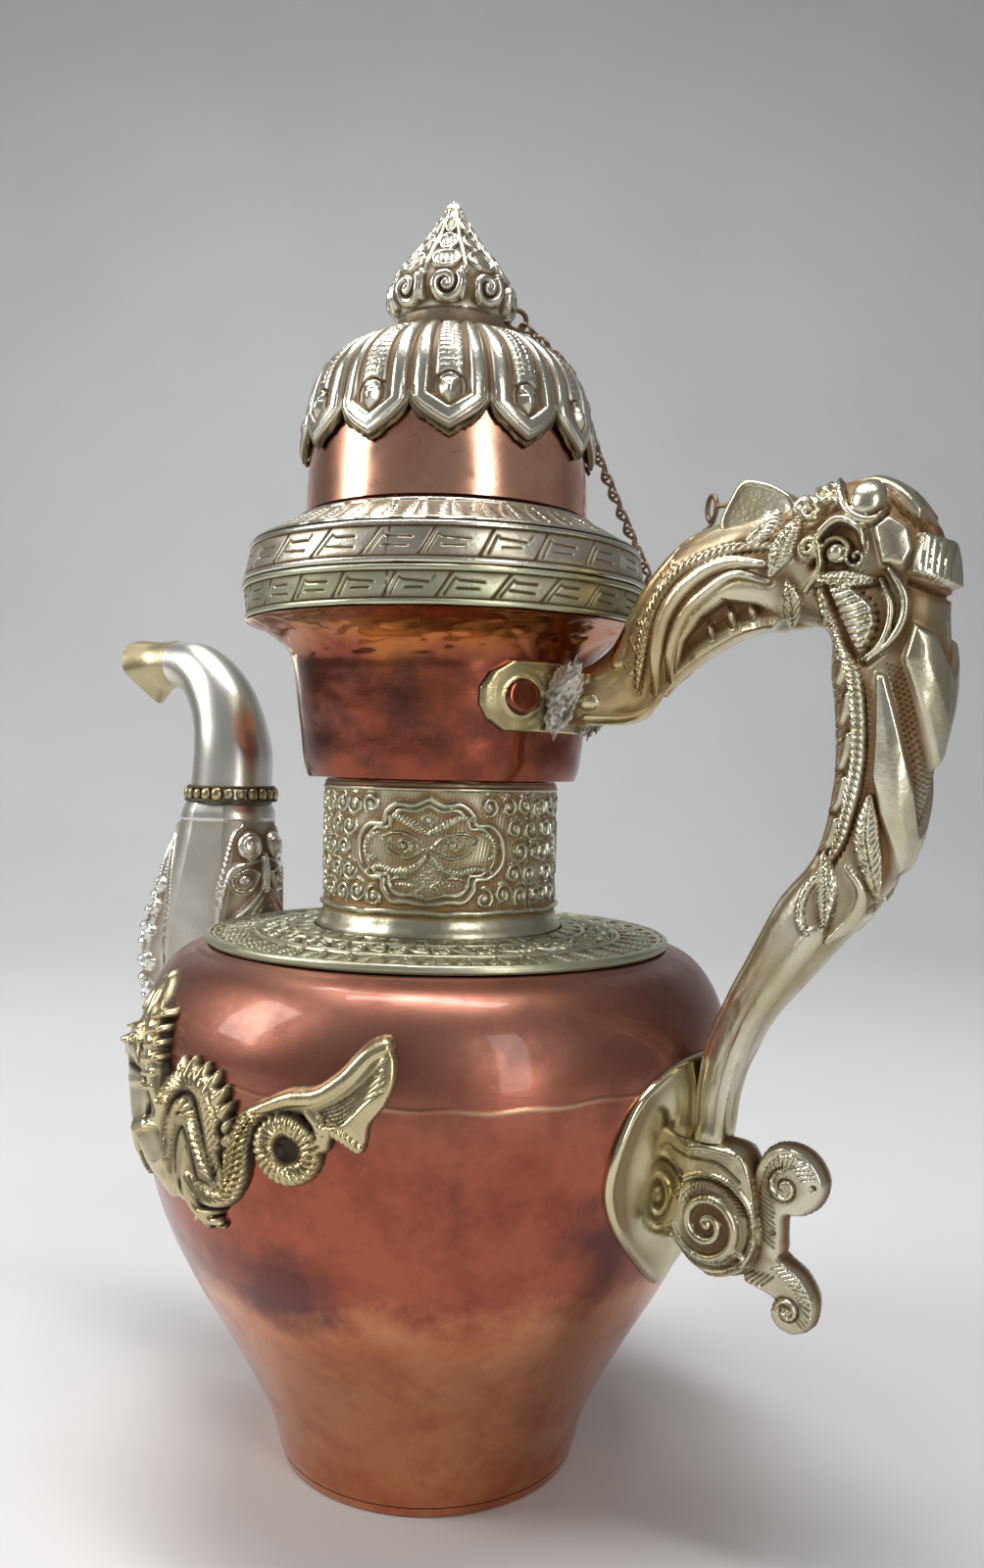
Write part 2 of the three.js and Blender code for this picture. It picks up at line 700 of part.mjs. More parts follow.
function handleArm() {
  const ribs = armShares.map(handleRib);
  const top = headBottom - gap;
  ribs[0][1] = top;
  ribs[0][3] = top;
  return cut(lofted(ribs, { steps: 16, sides: 12, roundness: 2.4 }), plateSeat());
}

// Socket: a block with two scrolled ends, hooked over the foot of the arm
const socketTop = handleLevel(armShares[armShares.length - 1][1]) - gap;
const blockShares = [
  [0.002, 0.252], [0.207, 0.252], [0.258, 0.203], [0.259, 0.127], [0.222, 0.064], [0.123, 0.036],
  [0.033, 0.038], [-0.017, 0.07], [-0.093, 0.14],
];
const voluteShares = [
  [0.232, 0.216], [0.279, 0.25], [0.343, 0.266], [0.414, 0.259], [0.441, 0.231], [0.419, 0.197],
  [0.366, 0.183], [0.321, 0.172], [0.304, 0.127], [0.312, 0.102], [0.361, 0.086], [0.377, 0.051],
  [0.357, 0.013], [0.317, 0], [0.276, 0.005], [0.27, 0.036], [0.214, 0.038], [0.146, 0.051],
  [0.188, 0.191],
];

function handleSocket() {
  const block = slab(blockShares.map(inHandle), socketWidth, slabBevel);
  const top = Math.max(...blockShares.map(([, z]) => z));
  block.translate(0, 0, socketTop - handleLevel(top));
  const volutes = slab(voluteShares.map(inHandle), voluteWidth, gap);
  return cut(joined(block, volutes), plateSeat());
}

add('handle_trunk', handleTrunk(), 'brass');
add('handle_head', handleHead(), 'pale');
add('handle_arm', handleArm(), 'pale');
add('handle_socket', handleSocket(), 'pale');

// A sheet bent round the vessel: the rule gives the angle's reach at each share of the height
function wrapped(columns, rows, spotAt) {
  const sheetStock = new THREE.BoxGeometry(1, 1, 1, columns, 1, rows);
  return tidy(reshaped(sheetStock, (point) => spotAt(2 * point.x, point.z + 1 / 2, point.y + 1 / 2)));
}

function polar(radius, degrees, height) {
  const angle = THREE.MathUtils.degToRad(degrees);
  return new THREE.Vector3(radius * Math.cos(angle), radius * Math.sin(angle), height);
}

const plateShares = [
  [0.03, 0], [0.3, 0.13], [0.59, 0.297], [0.925, 0.56], [1, 0.742], [0.8, 0.87], [0.12, 1],
];

function leafPlate() {
  const low = socketTop + plateRise - plateHeight;
  return wrapped(8, 9, (across, up, out) => {
    const rise = Math.sin(Math.PI * up / 2);
    const height = low + rise * plateHeight;
    const reach = radiusAt(plateShares, rise) * plateAngle;
    const bevel = (2 - Math.abs(across) ** plateFlatness) * plateWall / 2;
    return polar(radiusAt(belly, height) + settling + out * bevel, across * reach, height);
  });
}

// The strap's ends are rounded, down to a flat of this share of its height
const strapEndShare = 0.3;

function handleStrap() {
  const strap = wrapped(14, 2, (across, up, out) => {
    const squareness = Math.sqrt(Math.max(1 - (2 * up - 1) ** 2, 0));
    const round = THREE.MathUtils.radToDeg(strapHeight / 2 / cupWaist);
    const reach = strapAngle - round * (1 - Math.max(squareness, strapEndShare));
    const height = strapTop - strapHeight + up * strapHeight;
    return polar(strapInner(height) + out * strapWall, across * reach, height);
  });
  const holes = Object.values(rivetAngles).map((angle) => radialPin(
    rivetShank + gap, neckBore, cupMouthRadius, angle));
  return cut(strap, ...holes);
}

const rivetShares = [[0.8, 0.7], [0.4, 1], [0, 1]];

function strapRivet(degrees) {
  const seat = strapOuter(rivetHeight + rivetHeadRadius) + gap;
  const inside = radiusAt(cupLine, rivetHeight) - 2 * sheet;
  const profile = [
    [0, inside], [rivetShank, inside], [rivetShank, seat], [rivetHeadRadius, seat],
    ...rivetShares.map(([r, z]) => [r * rivetHeadRadius, seat + z * rivetHeadHeight]),
  ];
  const rivet = new THREE.LatheGeometry(profile.map(([r, z]) => new THREE.Vector2(r, z)), 12);
  rivet.rotateZ(-Math.PI / 2);
  rivet.translate(0, 0, rivetHeight);
  return tidy(rivet.rotateZ(THREE.MathUtils.degToRad(degrees)));
}

add('belly_leaf_plate', leafPlate(), 'brass');
add('handle_strap', handleStrap(), 'brass');
add('strap_rivet_near', strapRivet(rivetAngles.near), 'copper');
add('strap_rivet_far', strapRivet(rivetAngles.far), 'copper');

// Dragons: shares of the span round the belly, of the height and of the body's half thickness
const spineShares = [
  [0, 0.87, 0.35], [0.05, 0.775, 0.75], [0.13, 0.68, 0.9], [0.21, 0.615, 0.85], [0.3, 0.56, 0.75],
  [0.4, 0.475, 0.85], [0.45, 0.365, 0.95], [0.5, 0.25, 1], [0.58, 0.175, 1], [0.595, 0.27, 1],
  [0.545, 0.46, 1], [0.56, 0.59, 1], [0.64, 0.655, 1], [0.74, 0.625, 1], [0.82, 0.52, 1.05],
  [0.9, 0.37, 1.15], [1.02, 0.33, 1.2], [1.08, 0.48, 1.15], [1.08, 0.63, 1.1], [1.14, 0.74, 1.1],
];
const coilShares = [0.3, 0.41, 0.8];
const forkShares = [[0.14, 0.66, 0.7], [0.06, 0.6, 0.6], [0.09, 0.48, 0.35]];
const hornShares = [[1.12, 0.75, 1], [1.04, 0.85, 0.75], [0.99, 0.97, 0.3]];
const muzzleShares = [[1.1, 0.78, 1.3], [1.22, 0.74, 1.6], [1.34, 0.68, 1.1], [1.4, 0.66, 0.6]];
const jawShares = [[1.12, 0.68, 1], [1.22, 0.6, 0.9], [1.33, 0.58, 0.5]];
const foreLegShares = [[0.86, 0.36, 1.1], [0.8, 0.2, 0.9], [0.7, 0.1, 0.7], [0.62, 0.02, 0.35]];
const hindLegShares = [[1.06, 0.42, 1.1], [1.22, 0.33, 1], [1.28, 0.17, 0.8], [1.16, 0.04, 0.4]];

function onBelly([angleShare, heightShare, size], side) {
  const height = shoulderHeight - dragonDrop + heightShare * dragonTall;
  const radius = radiusAt(belly, height) + size * dragonThick / 2;
  const along = THREE.MathUtils.radToDeg(angleShare * dragonSpan / bellyRadius);
  return polar(radius, side * (dragonAngle + along), height);
}

// The flat back of the casting follows the belly
function settled(spot) {
  const radius = radiusAt(belly, spot.z) + settling;
  const reach = radius / Math.hypot(spot.x, spot.y);
  return spot.set(spot.x * reach, spot.y * reach, spot.z);
}

function limb(line, side, steps) {
  const points = line.map((row) => onBelly(row, side));
  return bar(points, line.map(([, , size]) => size * dragonThick), { steps, sides: 5, settled });
}

function dragon(side) {
  const middle = onBelly(coilShares, side);
  const tangent = new THREE.Vector3(-middle.y, middle.x, 0).normalize();
  const coilSize = coilShares[2] * dragonThick;
  const halves = [0, Math.PI].map((start) => {
    const coil = [];
    for (let i = -1; i <= coilSteps + 1; i += 1) {
      const angle = start + Math.PI * i / coilSteps;
      const spot = middle.clone().addScaledVector(tangent, coilRadius * Math.cos(angle));
      spot.z += coilRadius * Math.sin(angle);
      coil.push(spot);
    }
    return bar(coil, coil.map(() => coilSize), { steps: coilSteps + 2, sides: 5, settled });
  });
  const body = limb(spineShares, side, 28);
  const parts = [
    ...halves, limb(forkShares, side, 2), limb(hornShares, side, 2), limb(muzzleShares, side, 3),
    limb(jawShares, side, 2), limb(foreLegShares, side, 4), limb(hindLegShares, side, 4),
  ];
  return joined(body, ...parts);
}

add('dragon_near', dragon(-1), 'brass');
add('dragon_far', dragon(1), 'brass');

// Rings that hold the chain: the ring stands upright, and its shank runs to the metal
function eye(radius, wire, shank) {
  const ring = new THREE.TorusGeometry(radius, wire / 2, 5, 10);
  ring.rotateX(Math.PI / 2);
  const pin = new THREE.CylinderGeometry(wire / 2, wire / 2, shank, 6);
  pin.rotateZ(Math.PI / 2);
  pin.translate(-radius - shank / 2 + wire / 4, 0, 0);
  return joined(ring, pin);
}

const bandRadius = finialRadius * finialShares[1][0];
const loopHeight = finialFoot + finialShares[1][1] * finialHeight;
const loopCentre = polar(bandRadius + gap + loopWire + loopRadius, chainAngle, loopHeight);
const swagStart = polar(lidBandRadius + linkWidth, chainAngle, (lidBottom + lidBandTop) / 2);

// The ring's shank meets the snout's edge at this share of the way up
const ringSeatShare = 0.71;
const [snoutLow, snoutHigh] = snoutShares.slice(0, 2).map((place) => new THREE.Vector2(...inHandle(place)));
const snoutEdge = snoutLow.lerp(snoutHigh, ringSeatShare);
const shankEnd = new THREE.Vector3(snoutEdge.x - loopWire / 2 - gap / 2, ringOffset, snoutEdge.y);
const swagAngle = Math.atan2(shankEnd.y - swagStart.y, shankEnd.x - swagStart.x);
const ringCentre = polar(-(ringRadius + ringShank - loopWire / 4), THREE.MathUtils.radToDeg(swagAngle), 0);
ringCentre.add(shankEnd);

const finialLoop = add('finial_loop', eye(loopRadius, loopWire, loopWire), 'iron');
finialLoop.position.copy(loopCentre);
finialLoop.rotation.z = THREE.MathUtils.degToRad(chainAngle);
const snoutRing = add('snout_ring', eye(ringRadius, loopWire, ringShank).rotateZ(Math.PI), 'iron');
snoutRing.position.copy(ringCentre);
snoutRing.rotation.z = swagAngle;

// The chain's route: over the cap, past the edge of the lid, and up to the ring in a swag
const drapeShares = [0.3, 0.45, 0.6, 0.78];
const swagShares = [[0.09, 0.47], [0.26, 0.87], [0.5, 1], [0.74, 0.82], [0.92, 0.4]];
const standoff = skin + gap + petalRelief + linkWidth / 2 + gap;

function drapeRoute() {
  const points = drapeShares.map((share) => {
    const spot = capCurve.getPoint(share);
    const tangent = capCurve.getTangent(share);
    return polar(spot.x - tangent.y * standoff, chainAngle, spot.y + tangent.x * standoff);
  });
  const start = points[0].clone().sub(loopCentre).setLength(loopRadius).add(loopCentre);
  return new THREE.CatmullRomCurve3([start, ...points, swagStart]);
}

function swagRoute() {
  const points = swagShares.map(([along, drop]) => {
    const spot = swagStart.clone().lerp(ringCentre, along);
    spot.z -= drop * swagDepth;
    return spot;
  });
  const end = points[points.length - 1].clone().sub(ringCentre).setLength(ringRadius).add(ringCentre);
  return new THREE.CatmullRomCurve3([swagStart, ...points, end]);
}

// One link: a wire ring drawn out along its length, lying in the XY plane
function link(pitch) {
  const wire = chainWire / 2;
  const bend = linkWidth / 2 - wire;
  const straight = (pitch + 3 * chainWire + linkPlay - linkWidth) / 2;
  const ring = new THREE.TorusGeometry(bend, wire, 4, 6);
  return tidy(reshaped(ring, (point) => point.clone().setX(point.x + Math.sign(point.x) * straight)));
}

// Links threaded along a route, each turned a quarter from the one before
function threaded(route, count, first) {
  const stations = route.getSpacedPoints(count);
  const along = new THREE.Vector3();
  const flat = polar(1, chainAngle + 90, 0);
  const across = new THREE.Vector3();
  const basis = new THREE.Matrix4();
  for (let i = 0; i < count; i += 1) {
    along.subVectors(stations[i + 1], stations[i]);
    const pitch = along.length();
    along.normalize();
    flat.addScaledVector(along, -flat.dot(along)).normalize();
    across.crossVectors(along, flat);
    const upright = i % 2 === 1;
    basis.makeBasis(along, upright ? across : flat, upright ? flat.clone().negate() : across);
    const piece = add(`chain_link_${String(first + i).padStart(2, '0')}`, link(pitch), 'iron');
    piece.quaternion.setFromRotationMatrix(basis);
    piece.position.lerpVectors(stations[i], stations[i + 1], 1 / 2);
  }
}

threaded(drapeRoute(), drapeLinks, 1);
threaded(swagRoute(), swagLinks, drapeLinks + 1);

export default ewer;
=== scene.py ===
import json
import math

import bpy
import numpy as np
from mathutils import Matrix, Vector


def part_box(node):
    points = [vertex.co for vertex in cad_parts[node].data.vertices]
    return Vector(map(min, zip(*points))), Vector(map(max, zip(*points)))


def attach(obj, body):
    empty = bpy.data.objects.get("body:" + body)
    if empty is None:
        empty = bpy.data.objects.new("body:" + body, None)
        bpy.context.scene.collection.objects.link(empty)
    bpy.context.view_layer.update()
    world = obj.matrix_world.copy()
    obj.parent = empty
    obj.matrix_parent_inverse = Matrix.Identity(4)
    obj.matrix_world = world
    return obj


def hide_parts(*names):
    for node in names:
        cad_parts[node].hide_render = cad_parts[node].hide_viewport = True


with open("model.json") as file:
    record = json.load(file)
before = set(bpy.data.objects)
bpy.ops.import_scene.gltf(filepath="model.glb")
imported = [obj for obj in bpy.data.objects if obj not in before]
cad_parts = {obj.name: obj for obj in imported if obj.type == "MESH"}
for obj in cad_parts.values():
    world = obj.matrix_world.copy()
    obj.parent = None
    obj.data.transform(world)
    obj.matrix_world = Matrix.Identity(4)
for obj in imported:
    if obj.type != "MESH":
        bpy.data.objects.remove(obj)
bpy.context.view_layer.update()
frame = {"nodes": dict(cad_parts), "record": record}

MM = 0.001
rng = np.random.default_rng(7)


# Camera, at the photograph's viewing angle

VIEW_AZIMUTH = math.radians(37.0)


def set_camera():
    aim, pitch, roll = math.radians(2.25), math.radians(-0.95), math.radians(1.27)
    distance, height = 0.354, 0.187
    focal_px, long_px, sensor_mm = 1310.5, 1600.0, 36.0
    right = Vector((math.cos(VIEW_AZIMUTH), math.sin(VIEW_AZIMUTH), 0))
    away = Vector((-math.sin(VIEW_AZIMUTH), math.cos(VIEW_AZIMUTH), 0))
    up = Vector((0, 0, 1))
    forward = right * math.sin(aim) + away * math.cos(aim)
    side = right * math.cos(aim) - away * math.sin(aim)
    look = forward * math.cos(pitch) + up * math.sin(pitch)
    top = -forward * math.sin(pitch) + up * math.cos(pitch)
    image_x = side * math.cos(roll) + top * math.sin(roll)
    image_y = -side * math.sin(roll) + top * math.cos(roll)
    data = bpy.data.cameras.new("camera")
    data.sensor_width = sensor_mm
    data.lens = focal_px * sensor_mm / long_px
    data.clip_start = 0.01
    data.clip_end = 20.0
    camera = bpy.data.objects.new("camera", data)
    bpy.context.scene.collection.objects.link(camera)
    place = -away * distance + up * height
    rows = [(image_x[i], image_y[i], -look[i], place[i]) for i in range(3)]
    camera.matrix_world = Matrix([*rows, (0, 0, 0, 1)])
    bpy.context.scene.camera = camera


set_camera()


# Curves and fields, in millimetres

# Steps between two given points of a spline, and a reach that takes in every place
SPLINE_STEPS = 24
EVERYWHERE = 1e3


def circle(count):
    """Angles of count even places round a circle."""
    return 2 * math.pi * np.arange(count) / count


def polar(radius, angle, z):
    """Points at a radius and an angle round the vertical axis, at height z."""
    return np.stack([radius * np.cos(angle), radius * np.sin(angle), z], -1)


def in_tile(phi, count, shift=0.0):
    """Place across the nearest of count tiles round the object, -0.5 to 0.5."""
    return np.mod(phi / (2 * math.pi) * count + shift, 1.0) - 0.5


def lengths_along(line):
    """How far along a line each of its points lies."""
    return np.r_[0, np.cumsum(np.linalg.norm(np.diff(line, axis=0), axis=1))]


def length_of(line):
    return np.linalg.norm(np.diff(line, axis=0), axis=1).sum()


def tangents(line):
    ahead = np.gradient(line, axis=0)
    return ahead / np.linalg.norm(ahead, axis=1)[:, None]


def spline(points, count):
    """A smooth line through points, as count points evenly spaced along it."""
    p = np.asarray(points, float)
    if len(p) == 2:
        return p[0] + np.linspace(0, 1, count)[:, None] * (p[1] - p[0])
    ends = np.vstack([2 * p[0] - p[1], p, 2 * p[-1] - p[-2]])
    t = np.linspace(0, 1, SPLINE_STEPS, endpoint=False)[:, None]
    out = []
    for i in range(1, len(ends) - 2):
        a, b, c, d = ends[i - 1:i + 3]
        ta, tb, tc = [np.linalg.norm(leg) ** 0.5 + 1e-9 for leg in (b - a, c - b, d - c)]
        m1 = tb * ((b - a) / ta - (c - a) / (ta + tb) + (c - b) / tb)
        m2 = tb * ((c - b) / tb - (d - b) / (tb + tc) + (d - c) / tc)
        out.append((2 * t**3 - 3 * t**2 + 1) * b + (t**3 - 2 * t**2 + t) * m1
                   + (-2 * t**3 + 3 * t**2) * c + (t**3 - t**2) * m2)
    return resample(np.vstack([*out, p[-1:]]), count)


def resample(line, count):
    """The same line as count points evenly spaced along it."""
    line = np.asarray(line, float)
    step = lengths_along(line)
    at = np.linspace(0, step[-1], count)
    return np.stack([np.interp(at, step, line[:, k]) for k in range(line.shape[1])], 1)


def smooth(x):
    """0 to 1 with soft ends, for x from 0 to 1."""
    x = np.clip(x, 0, 1)
    return x * x * (3 - 2 * x)


def blurred(field, sigma_rows, sigma_cols):
    """Gaussian blur of a field whose rows run round the object and wrap."""
    rows, cols = field.shape
    fr = np.fft.fftfreq(rows)[:, None]
    padded = np.concatenate([field, field[:, ::-1]], 1)
    fc = np.fft.rfftfreq(2 * cols)[None, :]
    keep = np.exp(-2 * math.pi**2 * ((fr * sigma_rows) ** 2 + (fc * sigma_cols) ** 2))
    return np.fft.irfft2(np.fft.rfft2(padded) * keep, padded.shape)[:, :cols]


def dents(rows, cols, sigma_rows, sigma_cols):
    """Seeded smooth unevenness, about -1 to 1."""
    field = blurred(rng.standard_normal((rows, cols)), sigma_rows, sigma_cols)
    return field / (field.std() * 2 + 1e-12)


def spiral(cx, cy, r0, r1, start, turns, count=40):
    """Points of a spiral from radius r0 to r1; start and turns in whole turns."""
    t = np.linspace(0, 1, count)
    a = 2 * math.pi * (start + turns * t)
    r = r0 + (r1 - r0) * t
    return np.stack([cx + r * np.cos(a), cy + r * np.sin(a)], 1)


class Relief:
    """Heights in mm over places x, y in mm, drawn with ridges, grooves and domes."""

    def __init__(self, x, y):
        self.x, self.y = np.asarray(x, float), np.asarray(y, float)
        self.h = np.zeros_like(self.x)

    def distance(self, points, reach):
        """Distance to a line and share along it, for the places within reach of it."""
        p = np.asarray(points, float)
        lo, hi = p.min(0) - reach, p.max(0) + reach
        near = (self.x > lo[0]) & (self.x < hi[0]) & (self.y > lo[1]) & (self.y < hi[1])
        x, y = self.x[near], self.y[near]
        best = np.full(x.shape, 1e9)
        share = np.zeros(x.shape)
        lengths = lengths_along(p)
        total = lengths[-1] + 1e-9
        for i in range(len(p) - 1):
            d = p[i + 1] - p[i]
            n = d @ d + 1e-12
            t = np.clip(((x - p[i, 0]) * d[0] + (y - p[i, 1]) * d[1]) / n, 0, 1)
            gone = np.hypot(x - p[i, 0] - t * d[0], y - p[i, 1] - t * d[1])
            closer = gone < best
            best[closer] = gone[closer]
            share[closer] = ((lengths[i] + t * math.sqrt(n)) / total)[closer]
        return near, best, share

    def stroke(self, points, width, taper):
        """Distance to a line and its half width there; taper is its width share along it."""
        near, d, share = self.distance(points, width)
        w = np.full(d.shape, width / 2)
        if taper is not None:
            w = w * np.interp(share, np.linspace(0, 1, len(taper)), taper)
        return near, d, w

    def ridge(self, points, width, height, taper=None, base=0.0, blunt=2.0):
        """A rounded ridge along a line."""
        near, d, w = self.stroke(points, width, taper)
        rise = np.clip(1 - (d / np.maximum(w, 1e-3)) ** blunt, 0, 1) ** 0.5
        top = base + height * rise * np.clip(w * 2 / width, 0, 1) ** 0.5
        self.h[near] = np.where(d < w, np.maximum(self.h[near], top), self.h[near])
        return self

    def groove(self, points, width, depth, taper=None):
        """A soft groove along a line."""
        near, d, w = self.stroke(points, width, taper)
        self.h[near] -= depth * smooth(1 - d / np.maximum(w, 1e-3))
        return self

    def inside(self, points):
        """Which places lie inside a closed outline."""
        p = np.asarray(points, float)
        hit = np.zeros(self.x.shape, bool)
        for i in range(len(p)):
            (x0, y0), (x1, y1) = p[i], p[(i + 1) % len(p)]
            if y0 == y1:
                continue
            cross = (self.y < max(y0, y1)) & (self.y >= min(y0, y1))
            hit ^= cross & (self.x < x0 + (self.y - y0) * (x1 - x0) / (y1 - y0))
        return hit

    def outlined(self, points):
        """Distance to a closed outline, and which of the places near it lie inside."""
        near, d, _ = self.distance(np.vstack([points, points[:1]]), EVERYWHERE)
        return near, d, self.inside(points)[near]

    def raised(self, points, height, edge, crown=0.0):
        """A raised field inside a closed outline, with a sloping edge and a crown."""
        near, d, inner = self.outlined(points)
        lift = height * smooth(d / edge) + crown * smooth(d / (4 * edge))
        self.h[near] = np.where(inner, np.maximum(self.h[near], lift), self.h[near])
        return self

    def sunk(self, points, depth, edge):
        """A hollow inside a closed outline."""
        near, d, inner = self.outlined(points)
        self.h[near] -= np.where(inner, depth * smooth(d / edge), 0)

    def oval(self, cx, cy, rx, ry, turn=0.0):
        """Squared distance from a centre, 1 on the edge of an oval."""
        c, s = math.cos(turn), math.sin(turn)
        dx, dy = self.x - cx, self.y - cy
        return ((dx * c + dy * s) / rx) ** 2 + ((-dx * s + dy * c) / ry) ** 2

    def dome(self, cx, cy, rx, ry, height, turn=0.0, base=0.0):
        q = self.oval(cx, cy, rx, ry, turn)
        top = base + height * np.sqrt(np.clip(1 - q, 0, 1))
        self.h = np.where(q < 1, np.maximum(self.h, top), self.h)
        return self

    def pit(self, cx, cy, radius, depth):
        self.h -= depth * smooth(1 - np.hypot(self.x - cx, self.y - cy) / radius)


def hatched(relief, points, width, step, slant=0.5, depth=0.35, line=0.6, ends=1.0):
    """Short grooves across a line, leaning by slant; ends narrows them towards both tips."""
    count = max(int(length_of(spline(points, 60)) / step), 2)
    track = spline(points, count + 1)
    for i, (p, t) in enumerate(zip(track, tangents(track))):
        w = width / 2 * (ends + (1 - ends) * math.sin(math.pi * i / count))
        lean = np.array([-t[1], t[0]]) * w + t * slant * w
        relief.groove([p - lean, p + lean], line, depth)


# Mesh making. Points are in millimetres.

def mesh_piece(name, points, faces, body, material, replaced=(), grime=None, sharp=40, tone=None):
    """A piece that rides on a body and stands for the replaced nodes of the solids."""
    data = bpy.data.meshes.new(name)
    places = (np.asarray(points).reshape(-1, 3) * MM).tolist()
    data.from_pydata(places, [], [list(map(int, f)) for f in faces])
    data.update()
    for layer, values in (("grime", grime), ("tone", tone)):
        if values is not None:
            attribute = data.attributes.new(layer, "FLOAT", "POINT")
            attribute.data.foreach_set("value", np.asarray(values, np.float32).ravel())
    data.polygons.foreach_set("use_smooth", [True] * len(data.polygons))
    data.set_sharp_from_angle(angle=math.radians(sharp))
    data.materials.append(material)
    piece = bpy.data.objects.new(name, data)
    bpy.context.scene.collection.objects.link(piece)
    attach(piece, body)
    if replaced:
        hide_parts(*replaced)
    return piece


def grid_faces(rows, cols, wrap_rows, wrap_cols, start=0, flip=False):
    """Quads of a grid of points numbered from start."""
    i = np.arange(rows if wrap_rows else rows - 1)
    j = np.arange(cols if wrap_cols else cols - 1)
    i, j = np.meshgrid(i, j, indexing="ij")
    i2, j2 = (i + 1) % rows, (j + 1) % cols
    corners = [i * cols + j, i2 * cols + j, i2 * cols + j2, i * cols + j2]
    quads = np.stack(corners, -1).reshape(-1, 4) + start
    return quads[:, ::-1] if flip else quads


def cavity(heights, near, far):
    """How much lower each place lies than what is round it, 0 to 1."""
    low = blurred(heights, near, near) - blurred(heights, far, far)
    span = np.percentile(np.abs(low), 98) + 1e-6
    return np.clip(0.5 - low / (2 * span), 0, 1)


def lathe(name, outer, inner, around, body, material, replaced=(), heights=None, grime=None,
          sharp=40, tone=None):
    """Turned work. outer runs upwards as a fine line of [radius, height]; inner closes it."""
    outer = np.asarray(outer, float)
    inner = np.asarray(inner, float).reshape(-1, 2)
    ahead = np.gradient(outer, axis=0)
    normal = np.stack([ahead[:, 1], -ahead[:, 0]], 1)
    normal /= np.linalg.norm(normal, axis=1)[:, None] + 1e-12
    h = np.zeros((around, len(outer))) if heights is None else heights

    def closed(values, rest):
        if values is None:
            return None
        return np.concatenate([values, np.broadcast_to(rest, (around, len(inner)))], 1)

    r = closed(outer[:, 0] + h * normal[:, 0], inner[:, 0])
    z = closed(outer[:, 1] + h * normal[:, 1], inner[:, 1])
    return mesh_piece(name, polar(r, circle(around)[:, None], z),
                      grid_faces(around, r.shape[1], True, True), body, material, replaced,
                      closed(grime, 0.5), sharp, closed(tone, 0.0))


# Materials

def nodes_of(name):
    material = bpy.data.materials.new(name)
    material.use_nodes = True
    tree = material.node_tree
    shader = tree.nodes["Principled BSDF"]
    return material, tree, shader


def add_node(tree, kind, **values):
    node = tree.nodes.new(kind)
    for key, value in values.items():
        node.inputs[key].default_value = value
    return node


def noise(tree, place, scale, detail=3.0, roughness=0.5, stretch=None):
    texture = add_node(tree, "ShaderNodeTexNoise", Scale=scale, Detail=detail, Roughness=roughness)
    if stretch:
        mapping = add_node(tree, "ShaderNodeMapping", Scale=stretch)
        tree.links.new(place, mapping.inputs["Vector"])
        place = mapping.outputs["Vector"]
    tree.links.new(place, texture.inputs["Vector"])
    return texture.outputs["Fac"]


def ranged(tree, value, low, high, to_low=0.0, to_high=1.0):
    """A value from low to high brought to to_low to to_high, and clamped there."""
    limits = {"From Min": low, "From Max": high, "To Min": to_low, "To Max": to_high}
    node = add_node(tree, "ShaderNodeMapRange", **limits)
    tree.links.new(value, node.inputs["Value"])
    return node.outputs["Result"]


def mixed(tree, factor, first, second, blend="MIX"):
    """Two colours, each a tuple or a socket, mixed by a socket."""
    node = tree.nodes.new("ShaderNodeMix")
    node.data_type = "RGBA"
    node.blend_type = blend
    for socket, value in ((node.inputs[6], first), (node.inputs[7], second)):
        if isinstance(value, tuple):
            socket.default_value = (*value, 1)
        else:
            tree.links.new(value, socket)
    tree.links.new(factor, node.inputs[0])
    return node.outputs[2]


def combined(tree, operation, a, b):
    """Two values, each a number or a socket, in one operation; only a difference isn't clamped."""
    node = tree.nodes.new("ShaderNodeMath")
    node.operation = operation
    node.use_clamp = operation != "SUBTRACT"
    for socket, value in zip(node.inputs, (a, b)):
        if isinstance(value, (int, float)):
            socket.default_value = value
        else:
            tree.links.new(value, socket)
    return node.outputs[0]


def coordinates(tree):
    return tree.nodes.new("ShaderNodeTexCoord").outputs["Object"]


def axes_of(tree, place):
    node = tree.nodes.new("ShaderNodeSeparateXYZ")
    tree.links.new(place, node.inputs[0])
    return node.outputs


def layer_value(tree, name):
    """A point attribute that mesh_piece writes."""
    node = tree.nodes.new("ShaderNodeAttribute")
    node.attribute_name = name
    return node.outputs["Fac"]


def bumped(tree, shader, heights, strength, distance):
    """Fine unevenness of a surface; distance is in metres."""
    node = add_node(tree, "ShaderNodeBump", Strength=strength, Distance=distance)
    tree.links.new(heights, node.inputs["Height"])
    tree.links.new(node.outputs["Normal"], shader.inputs["Normal"])


